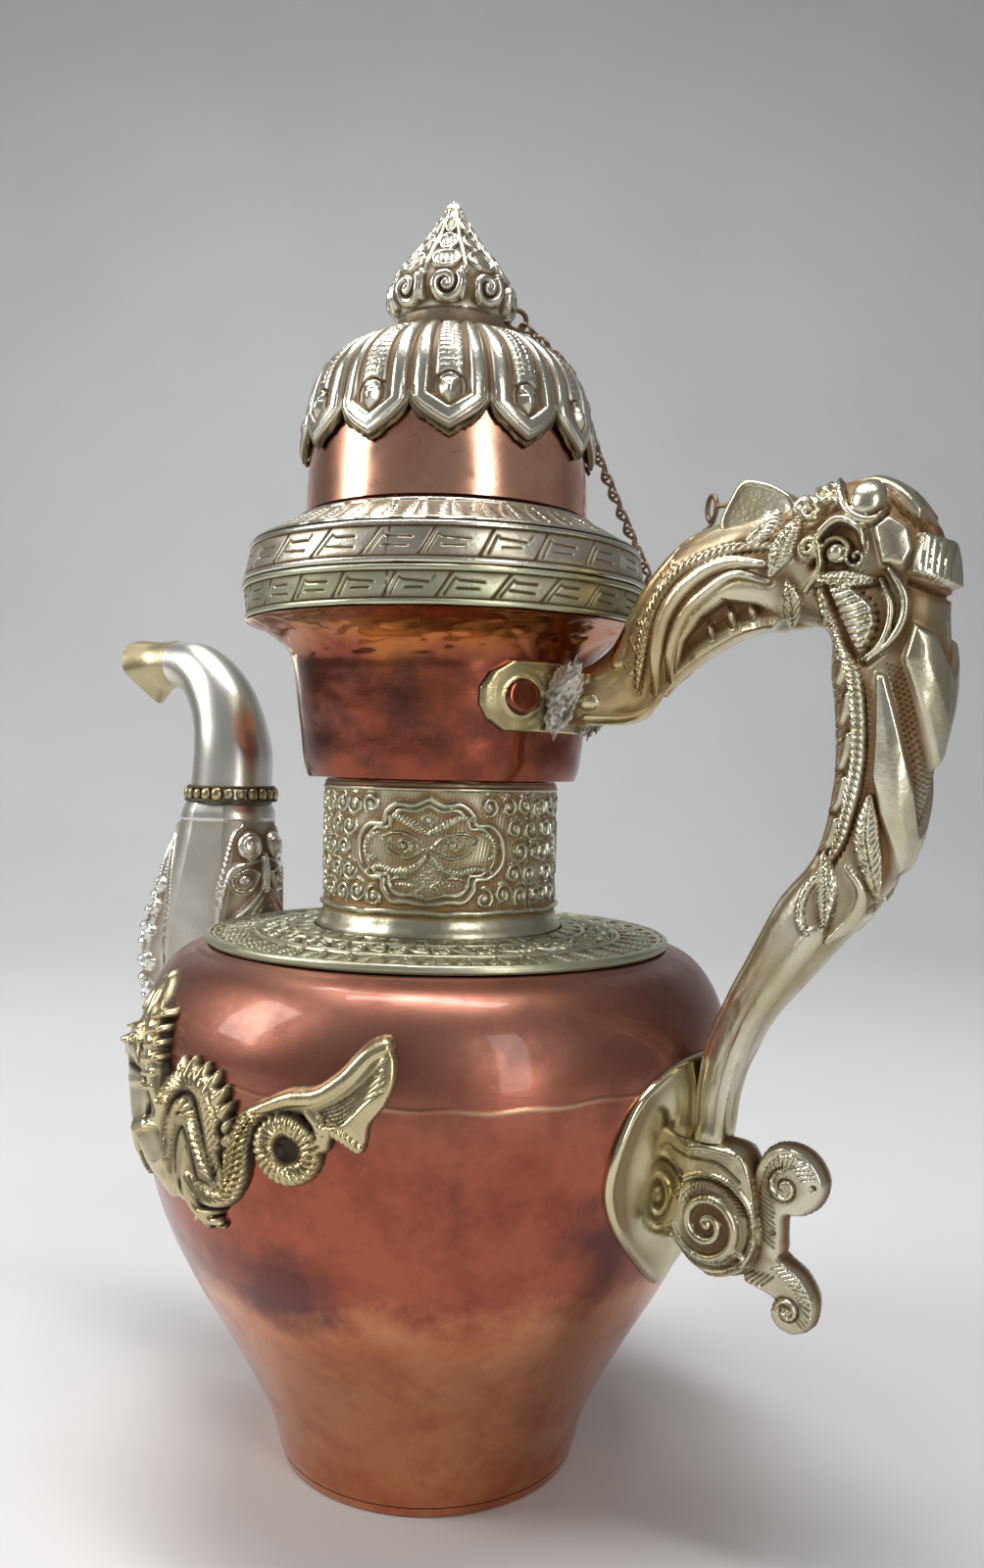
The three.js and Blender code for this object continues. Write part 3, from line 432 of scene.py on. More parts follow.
def cast_metal(name, bright, worn, dirt_and_shade, rough=(0.22, 0.5), grime_at=(0.45, 0.85), patches=0.5,
               pits=0.35):
    """Worn chased or cast metal: bright on what stands proud and dark in the grooves, the dark
    being partly grime and partly painted shade.
    """
    material, tree, shader = nodes_of(name)
    place = coordinates(tree)
    cloud = noise(tree, place, 60, 4)
    speck = noise(tree, place, 900, 3, 0.6)
    base = mixed(tree, ranged(tree, cloud, 0.35, 0.65, 0, patches * 1.6), bright, worn)
    # The point attribute read here is partly real grime and partly painted shade; it darkens
    # hollows, joins and insides towards the third colour given.
    grime = ranged(tree, layer_value(tree, "grime"), *grime_at)
    low = combined(tree, "ADD", grime, ranged(tree, speck, 0.6, 0.8, 0, 0.25))
    tree.links.new(mixed(tree, low, base, dirt_and_shade), shader.inputs["Base Color"])
    tree.links.new(ranged(tree, low, 0, 1, *rough), shader.inputs["Roughness"])
    tree.links.new(ranged(tree, low, 0.3, 1.0, 1.0, 0.55), shader.inputs["Metallic"])
    fine, coarse = [combined(tree, "MULTIPLY", field, 0.5)
                    for field in (speck, noise(tree, place, 220, 2))]
    bumped(tree, shader, combined(tree, "ADD", fine, coarse), pits, 0.0004)
    return material


def copper_metal(name):
    """Beaten copper: brown patina on the shoulder, red brown cup, bright belly and peach dome."""
    material, tree, shader = nodes_of(name)
    place = coordinates(tree)
    cloud = noise(tree, place, 24, 5, 0.6)
    blotch = noise(tree, place, 75, 5, 0.65)
    speck = noise(tree, place, 420, 3, 0.6)

    # Heights in metres over which each tone takes over from the one below it
    belly_at, shoulder_at, cup_at = (0.076, 0.086), (0.112, 0.138), (0.17, 0.18)
    flare_at, dome_at = (0.228, 0.233), (0.25, 0.262)

    def plus(value, field, share):
        return combined(tree, "ADD", value, combined(tree, "MULTIPLY", field, share))

    def blotched(low, high, first, second):
        return mixed(tree, ranged(tree, blotch, low, high), first, second)

    height = plus(axes_of(tree, place)["Z"], cloud, 0.03)
    clean = blotched(0.42, 0.66, (0.36, 0.095, 0.05), (0.25, 0.06, 0.035))
    clean = mixed(tree, ranged(tree, cloud, 0.5, 0.64), clean, (0.13, 0.038, 0.03))
    warm = blotched(0.42, 0.66, (0.64, 0.26, 0.12), (0.50, 0.165, 0.07))
    colour = mixed(tree, ranged(tree, plus(height, blotch, 0.012), *belly_at), warm, clean)
    for limits, above in (
            (shoulder_at, blotched(0.42, 0.68, (0.30, 0.125, 0.085), (0.21, 0.082, 0.058))),
            (cup_at, blotched(0.4, 0.66, (0.27, 0.062, 0.03), (0.10, 0.03, 0.02))),
            (flare_at, (0.44, 0.14, 0.035)),
            (dome_at, blotched(0.4, 0.7, (0.88, 0.48, 0.32), (0.66, 0.30, 0.19)))):
        colour = mixed(tree, ranged(tree, height, *limits), colour, above)
    colour = mixed(tree, ranged(tree, speck, 0.62, 0.8, 0, 0.5), colour, (0.16, 0.065, 0.045))
    braze = ranged(tree, layer_value(tree, "tone"), 0, 1)
    colour = mixed(tree, braze, colour, (0.70, 0.55, 0.30))
    tree.links.new(colour, shader.inputs["Base Color"])

    dull = combined(tree, "SUBTRACT", ranged(tree, height, *shoulder_at, 0, 0.2),
                    ranged(tree, height, *cup_at, 0, 0.2))
    rough = combined(tree, "ADD", ranged(tree, blotch, 0.3, 0.75, 0.13, 0.3), dull)
    tree.links.new(rough, shader.inputs["Roughness"])
    for key, value in (("Metallic", 1.0), ("Coat Weight", 0.3), ("Coat Roughness", 0.06)):
        shader.inputs[key].default_value = value
    marks = combined(tree, "MULTIPLY", noise(tree, place, 300, 2, 0.5, (1, 1, 9)), 0.25)
    bumped(tree, shader, plus(marks, noise(tree, place, 120, 2), 0.6), 0.14, 0.0006)
    return material


copper = copper_metal("beaten_copper")
silver = cast_metal("chased_white_metal", (0.74, 0.71, 0.60), (0.58, 0.54, 0.41),
                    (0.17, 0.11, 0.055), rough=(0.26, 0.55), grime_at=(0.42, 0.8))
greenish = cast_metal("tarnished_white_metal", (0.58, 0.58, 0.43), (0.44, 0.45, 0.29),
                      (0.15, 0.11, 0.05), rough=(0.34, 0.6), grime_at=(0.42, 0.8))
sleeve_metal = cast_metal("stained_white_metal", (0.60, 0.58, 0.45), (0.46, 0.43, 0.28),
                          (0.24, 0.14, 0.05), rough=(0.3, 0.55), grime_at=(0.46, 0.8))
brass = cast_metal("worn_brass", (0.60, 0.52, 0.29), (0.45, 0.37, 0.18), (0.08, 0.05, 0.025))
dark_brass = cast_metal("darkened_brass", (0.66, 0.56, 0.33), (0.44, 0.36, 0.19),
                        (0.07, 0.05, 0.03), rough=(0.26, 0.6), grime_at=(0.38, 0.72))
pale = cast_metal("pale_cast_brass", (0.70, 0.67, 0.53), (0.54, 0.48, 0.32), (0.17, 0.095, 0.035),
                  rough=(0.26, 0.52), grime_at=(0.37, 0.72), patches=0.7)


def yellowed(material, start, end, colour):
    """Mixes a colour in over a metal between two places along X, on its upper part only."""
    tree = material.node_tree
    target = tree.nodes["Principled BSDF"].inputs["Base Color"]
    base = target.links[0].from_socket
    place = coordinates(tree)
    axes = axes_of(tree, place)
    share = combined(tree, "MULTIPLY", ranged(tree, axes["X"], start, end),
                     ranged(tree, axes["Z"], 0.185, 0.2))
    uneven = ranged(tree, noise(tree, place, 90, 5, 0.6), 0.3, 0.6, 0.35, 0.9)
    share = combined(tree, "MULTIPLY", share, uneven)
    tree.links.new(mixed(tree, share, base, colour, "MULTIPLY"), target)


yellowed(pale, 0.098, 0.058, (0.92, 0.70, 0.38))
smooth_silver = cast_metal("smooth_white_metal", (0.84, 0.82, 0.75), (0.70, 0.67, 0.58),
                           (0.22, 0.14, 0.07), rough=(0.30, 0.5), grime_at=(0.42, 0.8), pits=0.15)
polished_brass = cast_metal("polished_pale_brass", (0.72, 0.66, 0.44), (0.60, 0.52, 0.30),
                            (0.24, 0.17, 0.08), rough=(0.1, 0.3), pits=0.08)
mouth_brass = cast_metal("worn_mouth_brass", (0.55, 0.47, 0.29), (0.38, 0.30, 0.16),
                         (0.13, 0.085, 0.045), rough=(0.38, 0.65), patches=0.8)
solder = cast_metal("crumbled_solder", (0.62, 0.60, 0.53), (0.46, 0.43, 0.35), (0.17, 0.14, 0.10),
                    rough=(0.55, 0.85), pits=0.9)
seam_solder = cast_metal("seam_solder", (0.24, 0.19, 0.10), (0.15, 0.115, 0.06), (0.07, 0.05, 0.03),
                         rough=(0.5, 0.8), pits=0.9)
iron = cast_metal("rusted_iron", (0.34, 0.23, 0.15), (0.23, 0.14, 0.09), (0.08, 0.05, 0.03),
                  rough=(0.4, 0.7), pits=0.6)

cad_looks = {"copper": copper, "white_metal": smooth_silver, "brass": brass, "pale_brass": pale,
             "iron": iron}
slot_of = {part["node"]: part["material_slot"] for part in frame["record"].get("subparts", [])}
for node_name, cad in frame["nodes"].items():
    look = cad_looks[slot_of.get(node_name, "copper")]
    if not cad.material_slots:
        cad.data.materials.append(look)
    for place_slot in cad.material_slots:
        place_slot.material = look


# Vessel outline

BELLY = [(40.4, 3.0), (42.9, 12.0), (46.4, 20.0), (51.1, 29.3), (57.5, 40.3), (64.5, 52.3),
         (71.1, 66.1), (76.0, 82.1), (78.6, 98.1), (79.2, 110.1), (78.2, 120.0), (75.0, 128.4),
         (70.0, 134.5), (63.5, 137.8)]
CROWN = [(45, 139.6), (31, 141.6)]
BELLY_LINE = spline(BELLY, 400)


def belly_radius(height):
    """Outer radius of the belly at a height."""
    return np.interp(height, BELLY_LINE[:, 1], BELLY_LINE[:, 0])


def make_belly():
    around = 480
    outer = np.vstack([spline(BELLY, 330), CROWN])
    z = outer[:, 1][None, :]
    low = smooth((75 - z) / 60)
    h = 0.16 * dents(around, len(outer), 11, 14)
    h = h + 0.07 * dents(around, len(outer), 5, 7) * (0.4 + low)
    phi = circle(around)
    seam_z = 112
    seam = seam_z + 0.5 * np.sin(3 * phi + 1) + 0.3 * np.sin(11 * phi) + 0.25 * np.sin(29 * phi + 2)
    d = np.abs(z - seam[:, None])
    h += 0.14 * smooth(1 - d / 0.55)
    h[:, :4] = h[:, -6:] = 0
    lumps = 0.6 + 0.4 * np.sin(17 * phi + 2 * np.sin(5 * phi))
    braze = 0.55 * smooth(1 - d / 0.7) * lumps[:, None]
    inner = [(30, 140.4), (44, 138.4), (61, 136.6), (69, 132), (73.8, 126), (77.6, 114),
             (77.8, 104), (74.8, 82), (69.9, 66), (63.3, 52.3), (56.3, 40.3), (49.9, 29.3),
             (45.2, 20), (41.7, 12), (39.2, 3)]
    lathe("copper_belly", outer, inner, around, "ewer", copper, ("belly_lower", "belly_upper"), h,
          tone=braze)


def make_foot():
    outer = [(0.01, 0.0), (20, 0.0), (38.8, 0.0), (39.5, 0.3), (39.8, 1.0), (40.3, 2.7)]
    inner = [(39.3, 2.7), (38.6, 1.2), (0.01, 1.2)]
    lathe("copper_foot", outer, inner, 240, "ewer", copper, ("base_disc",))


def make_cup():
    around = 360
    points = [(36.4, 182.4), (36.9, 183.6), (37.6, 186.2), (38.6, 194.6), (39.5, 200.3),
              (40.7, 209.3), (41.5, 214), (43.4, 217.2), (48.0, 220.8), (53.9, 223.2)]
    outer = spline(points, 130)
    h = 0.12 * dents(around, len(outer), 9, 9) + 0.04 * dents(around, len(outer), 3, 3)
    hammered = smooth((outer[:, 1] - 213) / 2)[None, :]
    h -= 0.45 * hammered * np.clip(dents(around, len(outer), 2.0, 2.4), 0, 2)
    h *= smooth((outer[:, 1] - 182.3) / 3)[None, :] * smooth((223.3 - outer[:, 1]) / 1.5)[None, :]
    inner = [(52.6, 223.2), (47.2, 221.9), (42.4, 218.5), (40.2, 214), (39.4, 209), (38.2, 200),
             (37.2, 194.6), (36.2, 186.4), (35, 183.6), (29.2, 183.6), (29.2, 182.35)]
    lathe("copper_cup", outer, inner, around, "ewer", copper, ("collar_cup",), h)


def make_dome():
    around = 300
    points = [(38.4, 252.7), (38.0, 262), (37.6, 267.2), (36.3, 276.2), (33.7, 286.1),
              (29.6, 291.9), (23.4, 296.5), (12.0, 300.0), (2.8, 301.1)]
    outer = spline(points, 150)
    h = 0.09 * dents(around, len(outer), 8, 8)
    h[:, -30:] = 0
    inner = [(2.8, 299.9), (12, 298.8), (22.8, 295.3), (28.5, 290.8), (32.5, 285.2), (35, 276),
             (36.4, 267), (37.1, 252.7)]
    lathe("copper_dome", outer, inner, around, "lid", copper, ("lid_dome",), h)


# Chased bands, plates and petals

def fret(x, y, width, units, around_mm):
    """Engraved key fret between two edge rolls, each unit a little different."""
    r = Relief(x, y)
    border = 1.6
    lo, hi = border, width - border
    unit = around_mm / units
    tall = hi - lo
    for k in range(-1, units + 1):
        a = unit * (k + 0.02 * math.sin(9.1 * k))
        w = 0.05 * math.sin(5.3 * k)

        def cut(points, breadth=0.5, depth=0.34):
            r.groove([(a + px * unit, lo + (0.06 + 0.88 * pz) * tall) for px, pz in points],
                     breadth, depth)

        cut([(0.0, -0.04), (0.31 + w, 1.04)], 0.8, 0.42)
        cut([(0.15, 0.06), (0.37 + w, 0.82), (0.42 + w, 0.72)], 0.7, 0.38)
        cut([(0.44 + w, 0.70), (0.90 - abs(w), 0.66 + w)], 0.85, 0.42)
        cut([(0.36 - w, 0.36), (0.80 + w, 0.33 - w)], 0.8, 0.42)
        if k % 4 == 1:
            cut([(0.90, 0.66), (0.97, 0.9)], 0.5)
    for level in (lo - 0.15, hi + 0.15):
        r.groove([(-unit, level), (around_mm + unit, level)], 0.6, 0.4)
    for level in (lo * 0.46, width - lo * 0.46):
        r.ridge([(-unit, level), (around_mm + unit, level)], 1.4, 0.5)
    for seam in (0.32, 0.81):
        r.groove([(seam * around_mm, lo), (seam * around_mm + 0.7, hi)], 0.4, 0.4)
    return r.h


def make_band(name, line, node, body, material, units, wall):
    around = 1440
    outer = resample(line, 44)
    along = lengths_along(outer)
    radius = outer[:, 0].mean()
    x = np.repeat((circle(around) * radius)[:, None], len(outer), 1)
    z = np.repeat(along[None, :], around, 0)
    h = fret(x, z, along[-1], units, 2 * math.pi * radius) - 0.3
    h += 0.07 * dents(around, len(outer), 14, 7)
    h[:, 0] = h[:, -1] = -0.2
    lathe(name, outer, wall, around, body, material, (node,), h, cavity(h, 1.2, 7))


def make_bands():
    make_band("rim_fret", [(53.9, 223.6), (54.9, 232.9)], "rim_band", "ewer", greenish, 26,
              [(50.3, 232.9), (50.3, 231.8), (52.6, 231.5), (52.2, 223.8)])
    make_band("lid_fret", [(54.75, 233.4), (54.6, 236), (52.9, 243.6)], "lid_band", "lid", silver,
              24, [(51.2, 243.6), (52.6, 235.6), (50.0, 234.4), (50.0, 233.4)])


def make_flange():
    around, leaves = 1080, 38
    outer = resample([(52.55, 244.1), (39.4, 251.8), (36.2, 252.2)], 60)
    x = in_tile(circle(around), leaves)[:, None] * (2 * math.pi / leaves) * outer[None, :, 0]
    tile = Relief(x, np.repeat(lengths_along(outer)[None, :], around, 0))
    tile.ridge([(0, 1.8), (0, 12.8)], 7.4, 0.35, [0.9, 1, 0.9, 0.7, 0.35], blunt=3)
    tile.groove([(0, 2.2), (0, 12)], 0.55, 0.25)
    for k in range(7):
        level = 3 + k * 1.4
        for side in (-1, 1):
            tile.groove([(0, level), (side * 2.6, level - 1.3)], 0.4, 0.25)
    for level in (1.0, 13.9):
        tile.ridge([(-9, level), (9, level)], 1.3, 0.55)
    tile.ridge([(-5, 14.6), (5, 14.6)], 0.9, 0.3)
    h = tile.h - 0.35 + 0.05 * dents(around, len(outer), 8, 6)
    h[:, 0] = h[:, -1] = -0.1
    lathe("lid_leaves", outer, [(36.2, 251.4), (38.4, 251.2), (51.4, 244.1)], around, "lid", silver,
          ("lid_flange",), h, cavity(h, 1.2, 6))


def mask_medallion(tile, middle):
    """Cusped medallion with two almond forms, brows and leaves, on both sides of x = 0."""
    half = [(0, 13.4), (3.6, 11.7), (8.4, 11.9), (11.6, 9.4), (12.4, 6.9), (16.4, 6.6), (19.4, 3.6),
            (20.2, 0), (19.4, -3.6), (16.0, -6.6), (12.2, -7.2), (12.0, -9.6), (9.4, -12.5),
            (4.6, -12.7), (0, -13.6)]
    ring = np.array([(a, middle + b) for a, b in half])
    mirrored = np.array([(-a, middle + b) for a, b in half[::-1]])
    for side in (ring, mirrored):
        track = spline(side, 90)
        tile.ridge(track, 1.6, 1.05)
        tile.ridge((track - (0, middle)) * 0.87 + (0, middle), 1.0, 0.75)
    for side in (-1, 1):
        def line(points, width, height=0.8, taper=(0.5, 1, 1, 0.5), veins=0):
            track = spline([(side * a, middle + b) for a, b in points], 40)
            tile.ridge(track, width, height, list(taper))
            if veins:
                hatched(tile, [(side * a, middle + b) for a, b in points], width * 0.8, veins, 0.6,
                        0.4, 0.35)

        line([(0.6, 0.7), (4.4, 3.9), (9.0, 4.7), (13.0, 3.2)], 0.95, 0.9)
        line([(0.6, 0.7), (4.8, -1.5), (9.4, -0.7), (13.0, 3.2)], 0.95, 0.9)
        line([(0, 4.4), (4.0, 6.6), (8.6, 8.7), (12.0, 8.0)], 2.1, 0.8, (0.6, 1, 1, 0.4), 0.95)
        line([(0.4, -1.2), (3.4, -4.2), (8.0, -5.2), (13.0, -4.2), (17.2, -5.0)], 2.1, 0.8,
             (0.6, 1, 1, 0.4), 0.95)
        line([(13.6, 4.6), (17.0, 3.0), (17.4, -0.6), (14.4, -2.4)], 1.9, 0.75, (0.4, 1, 1, 0.4),
             0.95)
        line([(0.8, -8.9), (4.4, -6.8), (8.6, -6.9), (11.0, -8.4)], 0.8)
        line([(0.8, -8.9), (4.4, -10.6), (8.0, -10.2), (11.0, -8.4)], 0.8)
        line([(2.4, -8.7), (8.6, -8.4)], 1.2, 0.5, (0.4, 1, 0.4), 0.8)
        line([(3.6, 9.9), (6.4, 10.6), (9.6, 10.2)], 0.7, 0.6)
        line([(0, 6.4), (1.7, 7.9), (0, 9.6)], 0.6, 0.6, (1, 1, 1))
        tile.ridge(spiral(side * 6.6, middle + 1.5, 0.3, 1.9, 0.1, 1.3 * side), 0.7, 0.7)
        tile.dome(side * 6.6, middle + 1.5, 0.6, 0.6, 0.8)
        tile.ridge(spline([(side * 8.6, middle + 0.6), (side * 10.2, middle + 2.2),
                           (side * 10.0, middle + 3.4)], 16), 0.6, 0.6)
        tile.ridge(spline([(side * 2.6, middle + 0.9), (side * 4.0, middle + 2.2),
                           (side * 4.6, middle + 0.2)], 16), 0.5, 0.5)
        for k in range(6):
            tile.dome(side * (0.5 + 0.9 * (k % 2)), middle - 3.6 - 0.8 * k, 0.4, 0.4, 0.5)
    tile.dome(0, middle + 7.9, 0.6, 0.8, 0.6)


def make_sleeve():
    around = 1000
    points = [(30.7, 142.0), (33.3, 142.0), (33.4, 143.2), (32.5, 145.0), (32.0, 146.6),
              (31.9, 148.0), (32.3, 149.0), (31.7, 150.0), (31.6, 165), (31.6, 178.2),
              (32.1, 180.0), (31.7, 181.8), (30.7, 181.95)]
    outer = resample(spline(points, 400), 178)
    along = outer[:, 1]
    phi = circle(around)
    repeats = 3
    span = 2 * math.pi * 31.8 / repeats
    x = np.repeat((in_tile(phi, repeats, 0.9875) * span)[:, None], len(outer), 1)
    z = np.repeat(along[None, :], around, 0)
    tile = Relief(x, z)
    middle = 164.2
    mask_medallion(tile, middle)
    centres = [(15.9, 11.6), (21.6, 11.4), (27.2, 11.8), (33.0, 11.2), (23.8, 5.9), (29.7, 5.7),
               (25.6, 0.2), (31.5, 0.0), (23.6, -5.6), (29.4, -5.8), (20.4, -10.8), (26.2, -11.4),
               (32.0, -11.4), (14.8, -11.9)]
    for k, (a, b) in enumerate(centres):
        for side in (-1, 1):
            way = side * (1 if k % 2 else -1)
            tile.ridge(spiral(side * a, middle + b, 0.4, 2.7, 0.2 + 0.31 * a, 1.5 * way, 50), 1.25,
                       1.0, [0.6, 1, 1, 0.6])
            tile.dome(side * a, middle + b, 0.9, 0.9, 0.9)
            tile.ridge(spline([(side * (a - 2.4), middle + b + 2.2),
                               (side * (a + 0.4), middle + b + 3.3),
                               (side * (a + 2.8), middle + b + 1.8)], 16), 0.75, 0.6, [0.3, 1, 0.3])
    ground = 0.16 * np.sin(5.2 * (x + 0.6 * z)) * np.sin(4.4 * (z - 0.3 * x))
    h = 0.85 * tile.h + np.where(tile.h < 0.05, ground, 0)
    h = h * smooth((z - 149.9) / 0.8) * smooth((179.4 - z) / 0.7)
    rim = Relief(x, z)
    rim.ridge([(-99, 179.9), (99, 179.9)], 1.1, 0.4)
    uneven = 0.25 * np.sin(7 * phi + 1) + 0.18 * np.sin(19 * phi)
    lip = Relief(x, z + uneven[:, None])
    lip.ridge([(-99, 148.7), (99, 148.7)], 1.8, 0.75)
    h = np.maximum(np.maximum(h, rim.h), lip.h) - 0.35 * smooth((z - 146) / 2)
    h += 0.08 * dents(around, len(outer), 7, 7)
    seam = Relief((phi * 31.8)[:, None] + 0 * z, z)
    seam.groove(spline([(196.5, 149), (197.2, 158), (196.2, 168), (196.8, 181)], 20), 0.8, 0.9)
    h += seam.h
    h[:, :3] = h[:, -3:] = 0
    lathe("neck_relief", outer, [(30.7, 181.9), (30.65, 142.1)], around, "ewer", sleeve_metal,
          ("neck_sleeve",), h, cavity(h, 1.0, 5))


def make_shoulder():
    around = 1200
    edge = 62.5
    line = [(edge - 0.1, 138.4), (edge, 139.6), (edge - 0.5, 140.15), (edge - 1.6, 139.9),
            (58, 139.75), (50, 140.6), (42, 141.5), (34.0, 142.45)]
    outer = resample(line, 130)
    phi = circle(around)
    r = np.repeat(outer[None, :, 0], around, 0)

    def tiled(count):
        return Relief(in_tile(phi, count)[:, None] * (2 * math.pi / count) * r, r)

    tile = tiled(44)
    tile.ridge([(0, 59.0), (0, 50.6)], 7.6, 0.75, [0.75, 1, 0.95, 0.6, 0.25], blunt=3)
    tile.groove([(0, 58.6), (0, 52)], 0.6, 0.4)
    for k in range(5):
        level = 57.6 - 1.4 * k
        for side in (-1, 1):
            tile.groove([(0, level), (side * 3.2, level + 1.4)], 0.45, 0.3)
    h = np.maximum(0, tile.h)
    tile = tiled(26)
    tile.ridge(spiral(-2.0, 45.4, 0.5, 2.6, 0.1, 1.5), 1.1, 0.8)
    tile.ridge(spiral(2.6, 42.2, 0.5, 2.3, 0.6, -1.5), 1.0, 0.8)
    tile.ridge(spline([(-5, 42.6), (-1.6, 41.4), (1.4, 44.6), (5.2, 46.6)], 24), 1.1, 0.7)
    for knob in ((-2.0, 45.4, 0.9, 0.9, 0.8), (2.6, 42.2, 0.9, 0.9, 0.8),
                 (4.6, 45.2, 1.3, 0.8, 0.6)):
        tile.dome(*knob)
    h = np.maximum(h, tile.h)
    tile = tiled(30)
    tile.ridge([(0, 34.6), (0, 39.0)], 5.6, 0.6, [0.9, 1, 0.4], blunt=3)
    tile.groove([(0, 34.6), (0, 38)], 0.5, 0.35)
    h = np.maximum(h, tile.h)
    rings = Relief(r, r)
    for level, width, height in ((60.4, 1.5, 0.9), (49.3, 1.2, 0.7), (48.0, 0.7, 0.5),
                                 (39.8, 1.1, 0.7), (61.9, 1.3, 0.4)):
        rise = np.sqrt(np.clip(1 - ((r - level) / (width / 2)) ** 2, 0, 1))
        rings.h = np.maximum(rings.h, height * rise)
    h = np.maximum(h, rings.h) - 0.35 * smooth((61.6 - r) / 1.0)
    h += 0.08 * dents(around, len(outer), 9, 6)
    h[:, :2] = h[:, -2:] = 0
    lathe("shoulder_relief", outer, [(34.0, 141.6), (44, 140.6), (61.4, 138.5)], around, "ewer",
          greenish, ("shoulder_plate",), h, cavity(h, 1.1, 5))


def make_petals():
    count, steps = 12, 72
    around = count * steps
    line = spline([(12.4, 301.5), (23.8, 298.1), (30.4, 293.5), (34.8, 287.5), (37.4, 277.4),
                   (38.4, 266.9)], 300)
    away = lengths_along(line)
    total = away[-1]
    rows = 200
    phi = 2 * math.pi * (np.arange(around) + 0.5) / around
    turned = np.mod(phi / (2 * math.pi) * count + 0.27, count)
    place = np.mod(turned, 1.0) * 2 - 1
    size = np.abs(place)
    longer = 0.5 * np.sin(2.9 * np.floor(turned) + 1)
    notch = 9.2 * (0.75 * size**1.1 + 0.25 * size**6)
    reach = total - 0.6 + longer * (1 - size**2) - notch
    v = np.linspace(0, 1, rows)
    s = reach[:, None] * v[None, :]
    r = np.interp(s, away, line[:, 0])
    z = np.interp(s, away, line[:, 1])
    half = (math.pi / count) * r
    x = place[:, None] * half
    tip = reach[:, None] + notch[:, None] - s
    scale = np.clip(half / 9.3, 0.3, 1)
    edge = np.minimum(half - np.abs(x), (reach[:, None] - s) * 0.8) / scale
    lip = 0.35 * np.sqrt(np.clip(1 - ((edge - 0.5) / 0.5) ** 2, 0, 1))
    rim = 1.2 * np.clip(1 - np.abs((edge - 2.75) / 1.95) ** 3.2, 0, 1) ** 0.6
    rim = rim - 0.25 * smooth(1 - np.abs(edge - 1.7) / 0.4) * smooth((14 - tip) / 4)
    h = np.maximum(lip, rim) * scale**0.5 * smooth((s - 1) / 3)
    tile = Relief(x / scale, tip)
    tile.ridge([(0, 14.5), (0, 22), (0, 34), (0, total - 3)], 7.0, 0.9, [0.95, 0.95, 0.9, 0.85],
               blunt=4)
    for k in range(22):
        level = 16.2 + 1.55 * k
        for column in (-1.9, 0, 1.9):
            tile.groove([(column - 0.7, level), (column + 0.7, level + 0.25)], 0.5, 0.5)
    for column in (-0.95, 0.95):
        tile.groove([(column, 15.6), (column, total - 6)], 0.35, 0.3)
    drop = Relief(x / scale, tip)
    drop.raised([(0, 5.0), (2.5, 8.4), (2.9, 10.8), (1.6, 12.8), (-1.6, 12.8), (-2.9, 10.8),
                 (-2.5, 8.4)], 1.9, 2.6)
    drop.groove(spline([(-3.4, 9.2), (-3.1, 12.6), (0, 14.4), (3.1, 12.6), (3.4, 9.2)], 40), 1.2,
                1.1)
    h = np.maximum(h, tile.h * scale**0.5) + np.where(np.abs(drop.h) > 0, drop.h, 0) * scale
    h = h + 0.06 * dents(around, rows, 10, 8)
    h[:, :3] = 0
    ahead = np.stack([np.interp(s, away, np.gradient(line[:, k], away)) for k in (0, 1)], -1)
    ahead /= np.linalg.norm(ahead, axis=-1)[..., None]
    out_r, out_z = -ahead[..., 1], ahead[..., 0]
    lift = 0.4 + 0.8 * np.sin(np.pi / 2 * (1 - size))[:, None] * np.clip(2 * s / total, 0, 1)
    outer_r, outer_z = r + out_r * (lift + h), z + out_z * (lift + h)
    pick = np.linspace(rows - 1, 0, 24).astype(int)
    under = 0.15 + (lift - 0.4) * 0.8
    inner_r, inner_z = (r + out_r * under)[:, pick], (z + out_z * under)[:, pick]
    rr, zz = np.concatenate([outer_r, inner_r], 1), np.concatenate([outer_z, inner_z], 1)
    points = polar(rr, phi[:, None], zz)
    g = np.concatenate([cavity(h, 1.2, 6), np.full((around, len(pick)), 0.7)], 1)
    mesh_piece("petal_relief", points, grid_faces(around, rr.shape[1], True, True, flip=True),
               "lid", silver, ("petal_cap",), g)

    # The line of solder under the petals' edge
    down = np.minimum(reach + 0.45 + 0.35 * dents(around, 1, 3, 1)[:, 0], total + 0.8)
    middle_r = np.interp(down, away, line[:, 0]) + 0.25
    middle_z = np.interp(down, away, line[:, 1]) - np.maximum(down - total, 0)
    q = circle(10)
    width = 0.5 + 0.45 * size[:, None] ** 2 + 0.2 * dents(around, 10, 1.2, 2)
    rr = middle_r[:, None] + 0.75 * width * np.cos(q)
    zz = middle_z[:, None] + 1.5 * width * np.sin(q)
    points = polar(rr, phi[:, None], zz)
    mesh_piece("petal_solder", points, grid_faces(around, 10, True, True), "lid", seam_solder, (),
               0.55 + 0.3 * dents(around, 10, 2, 2))


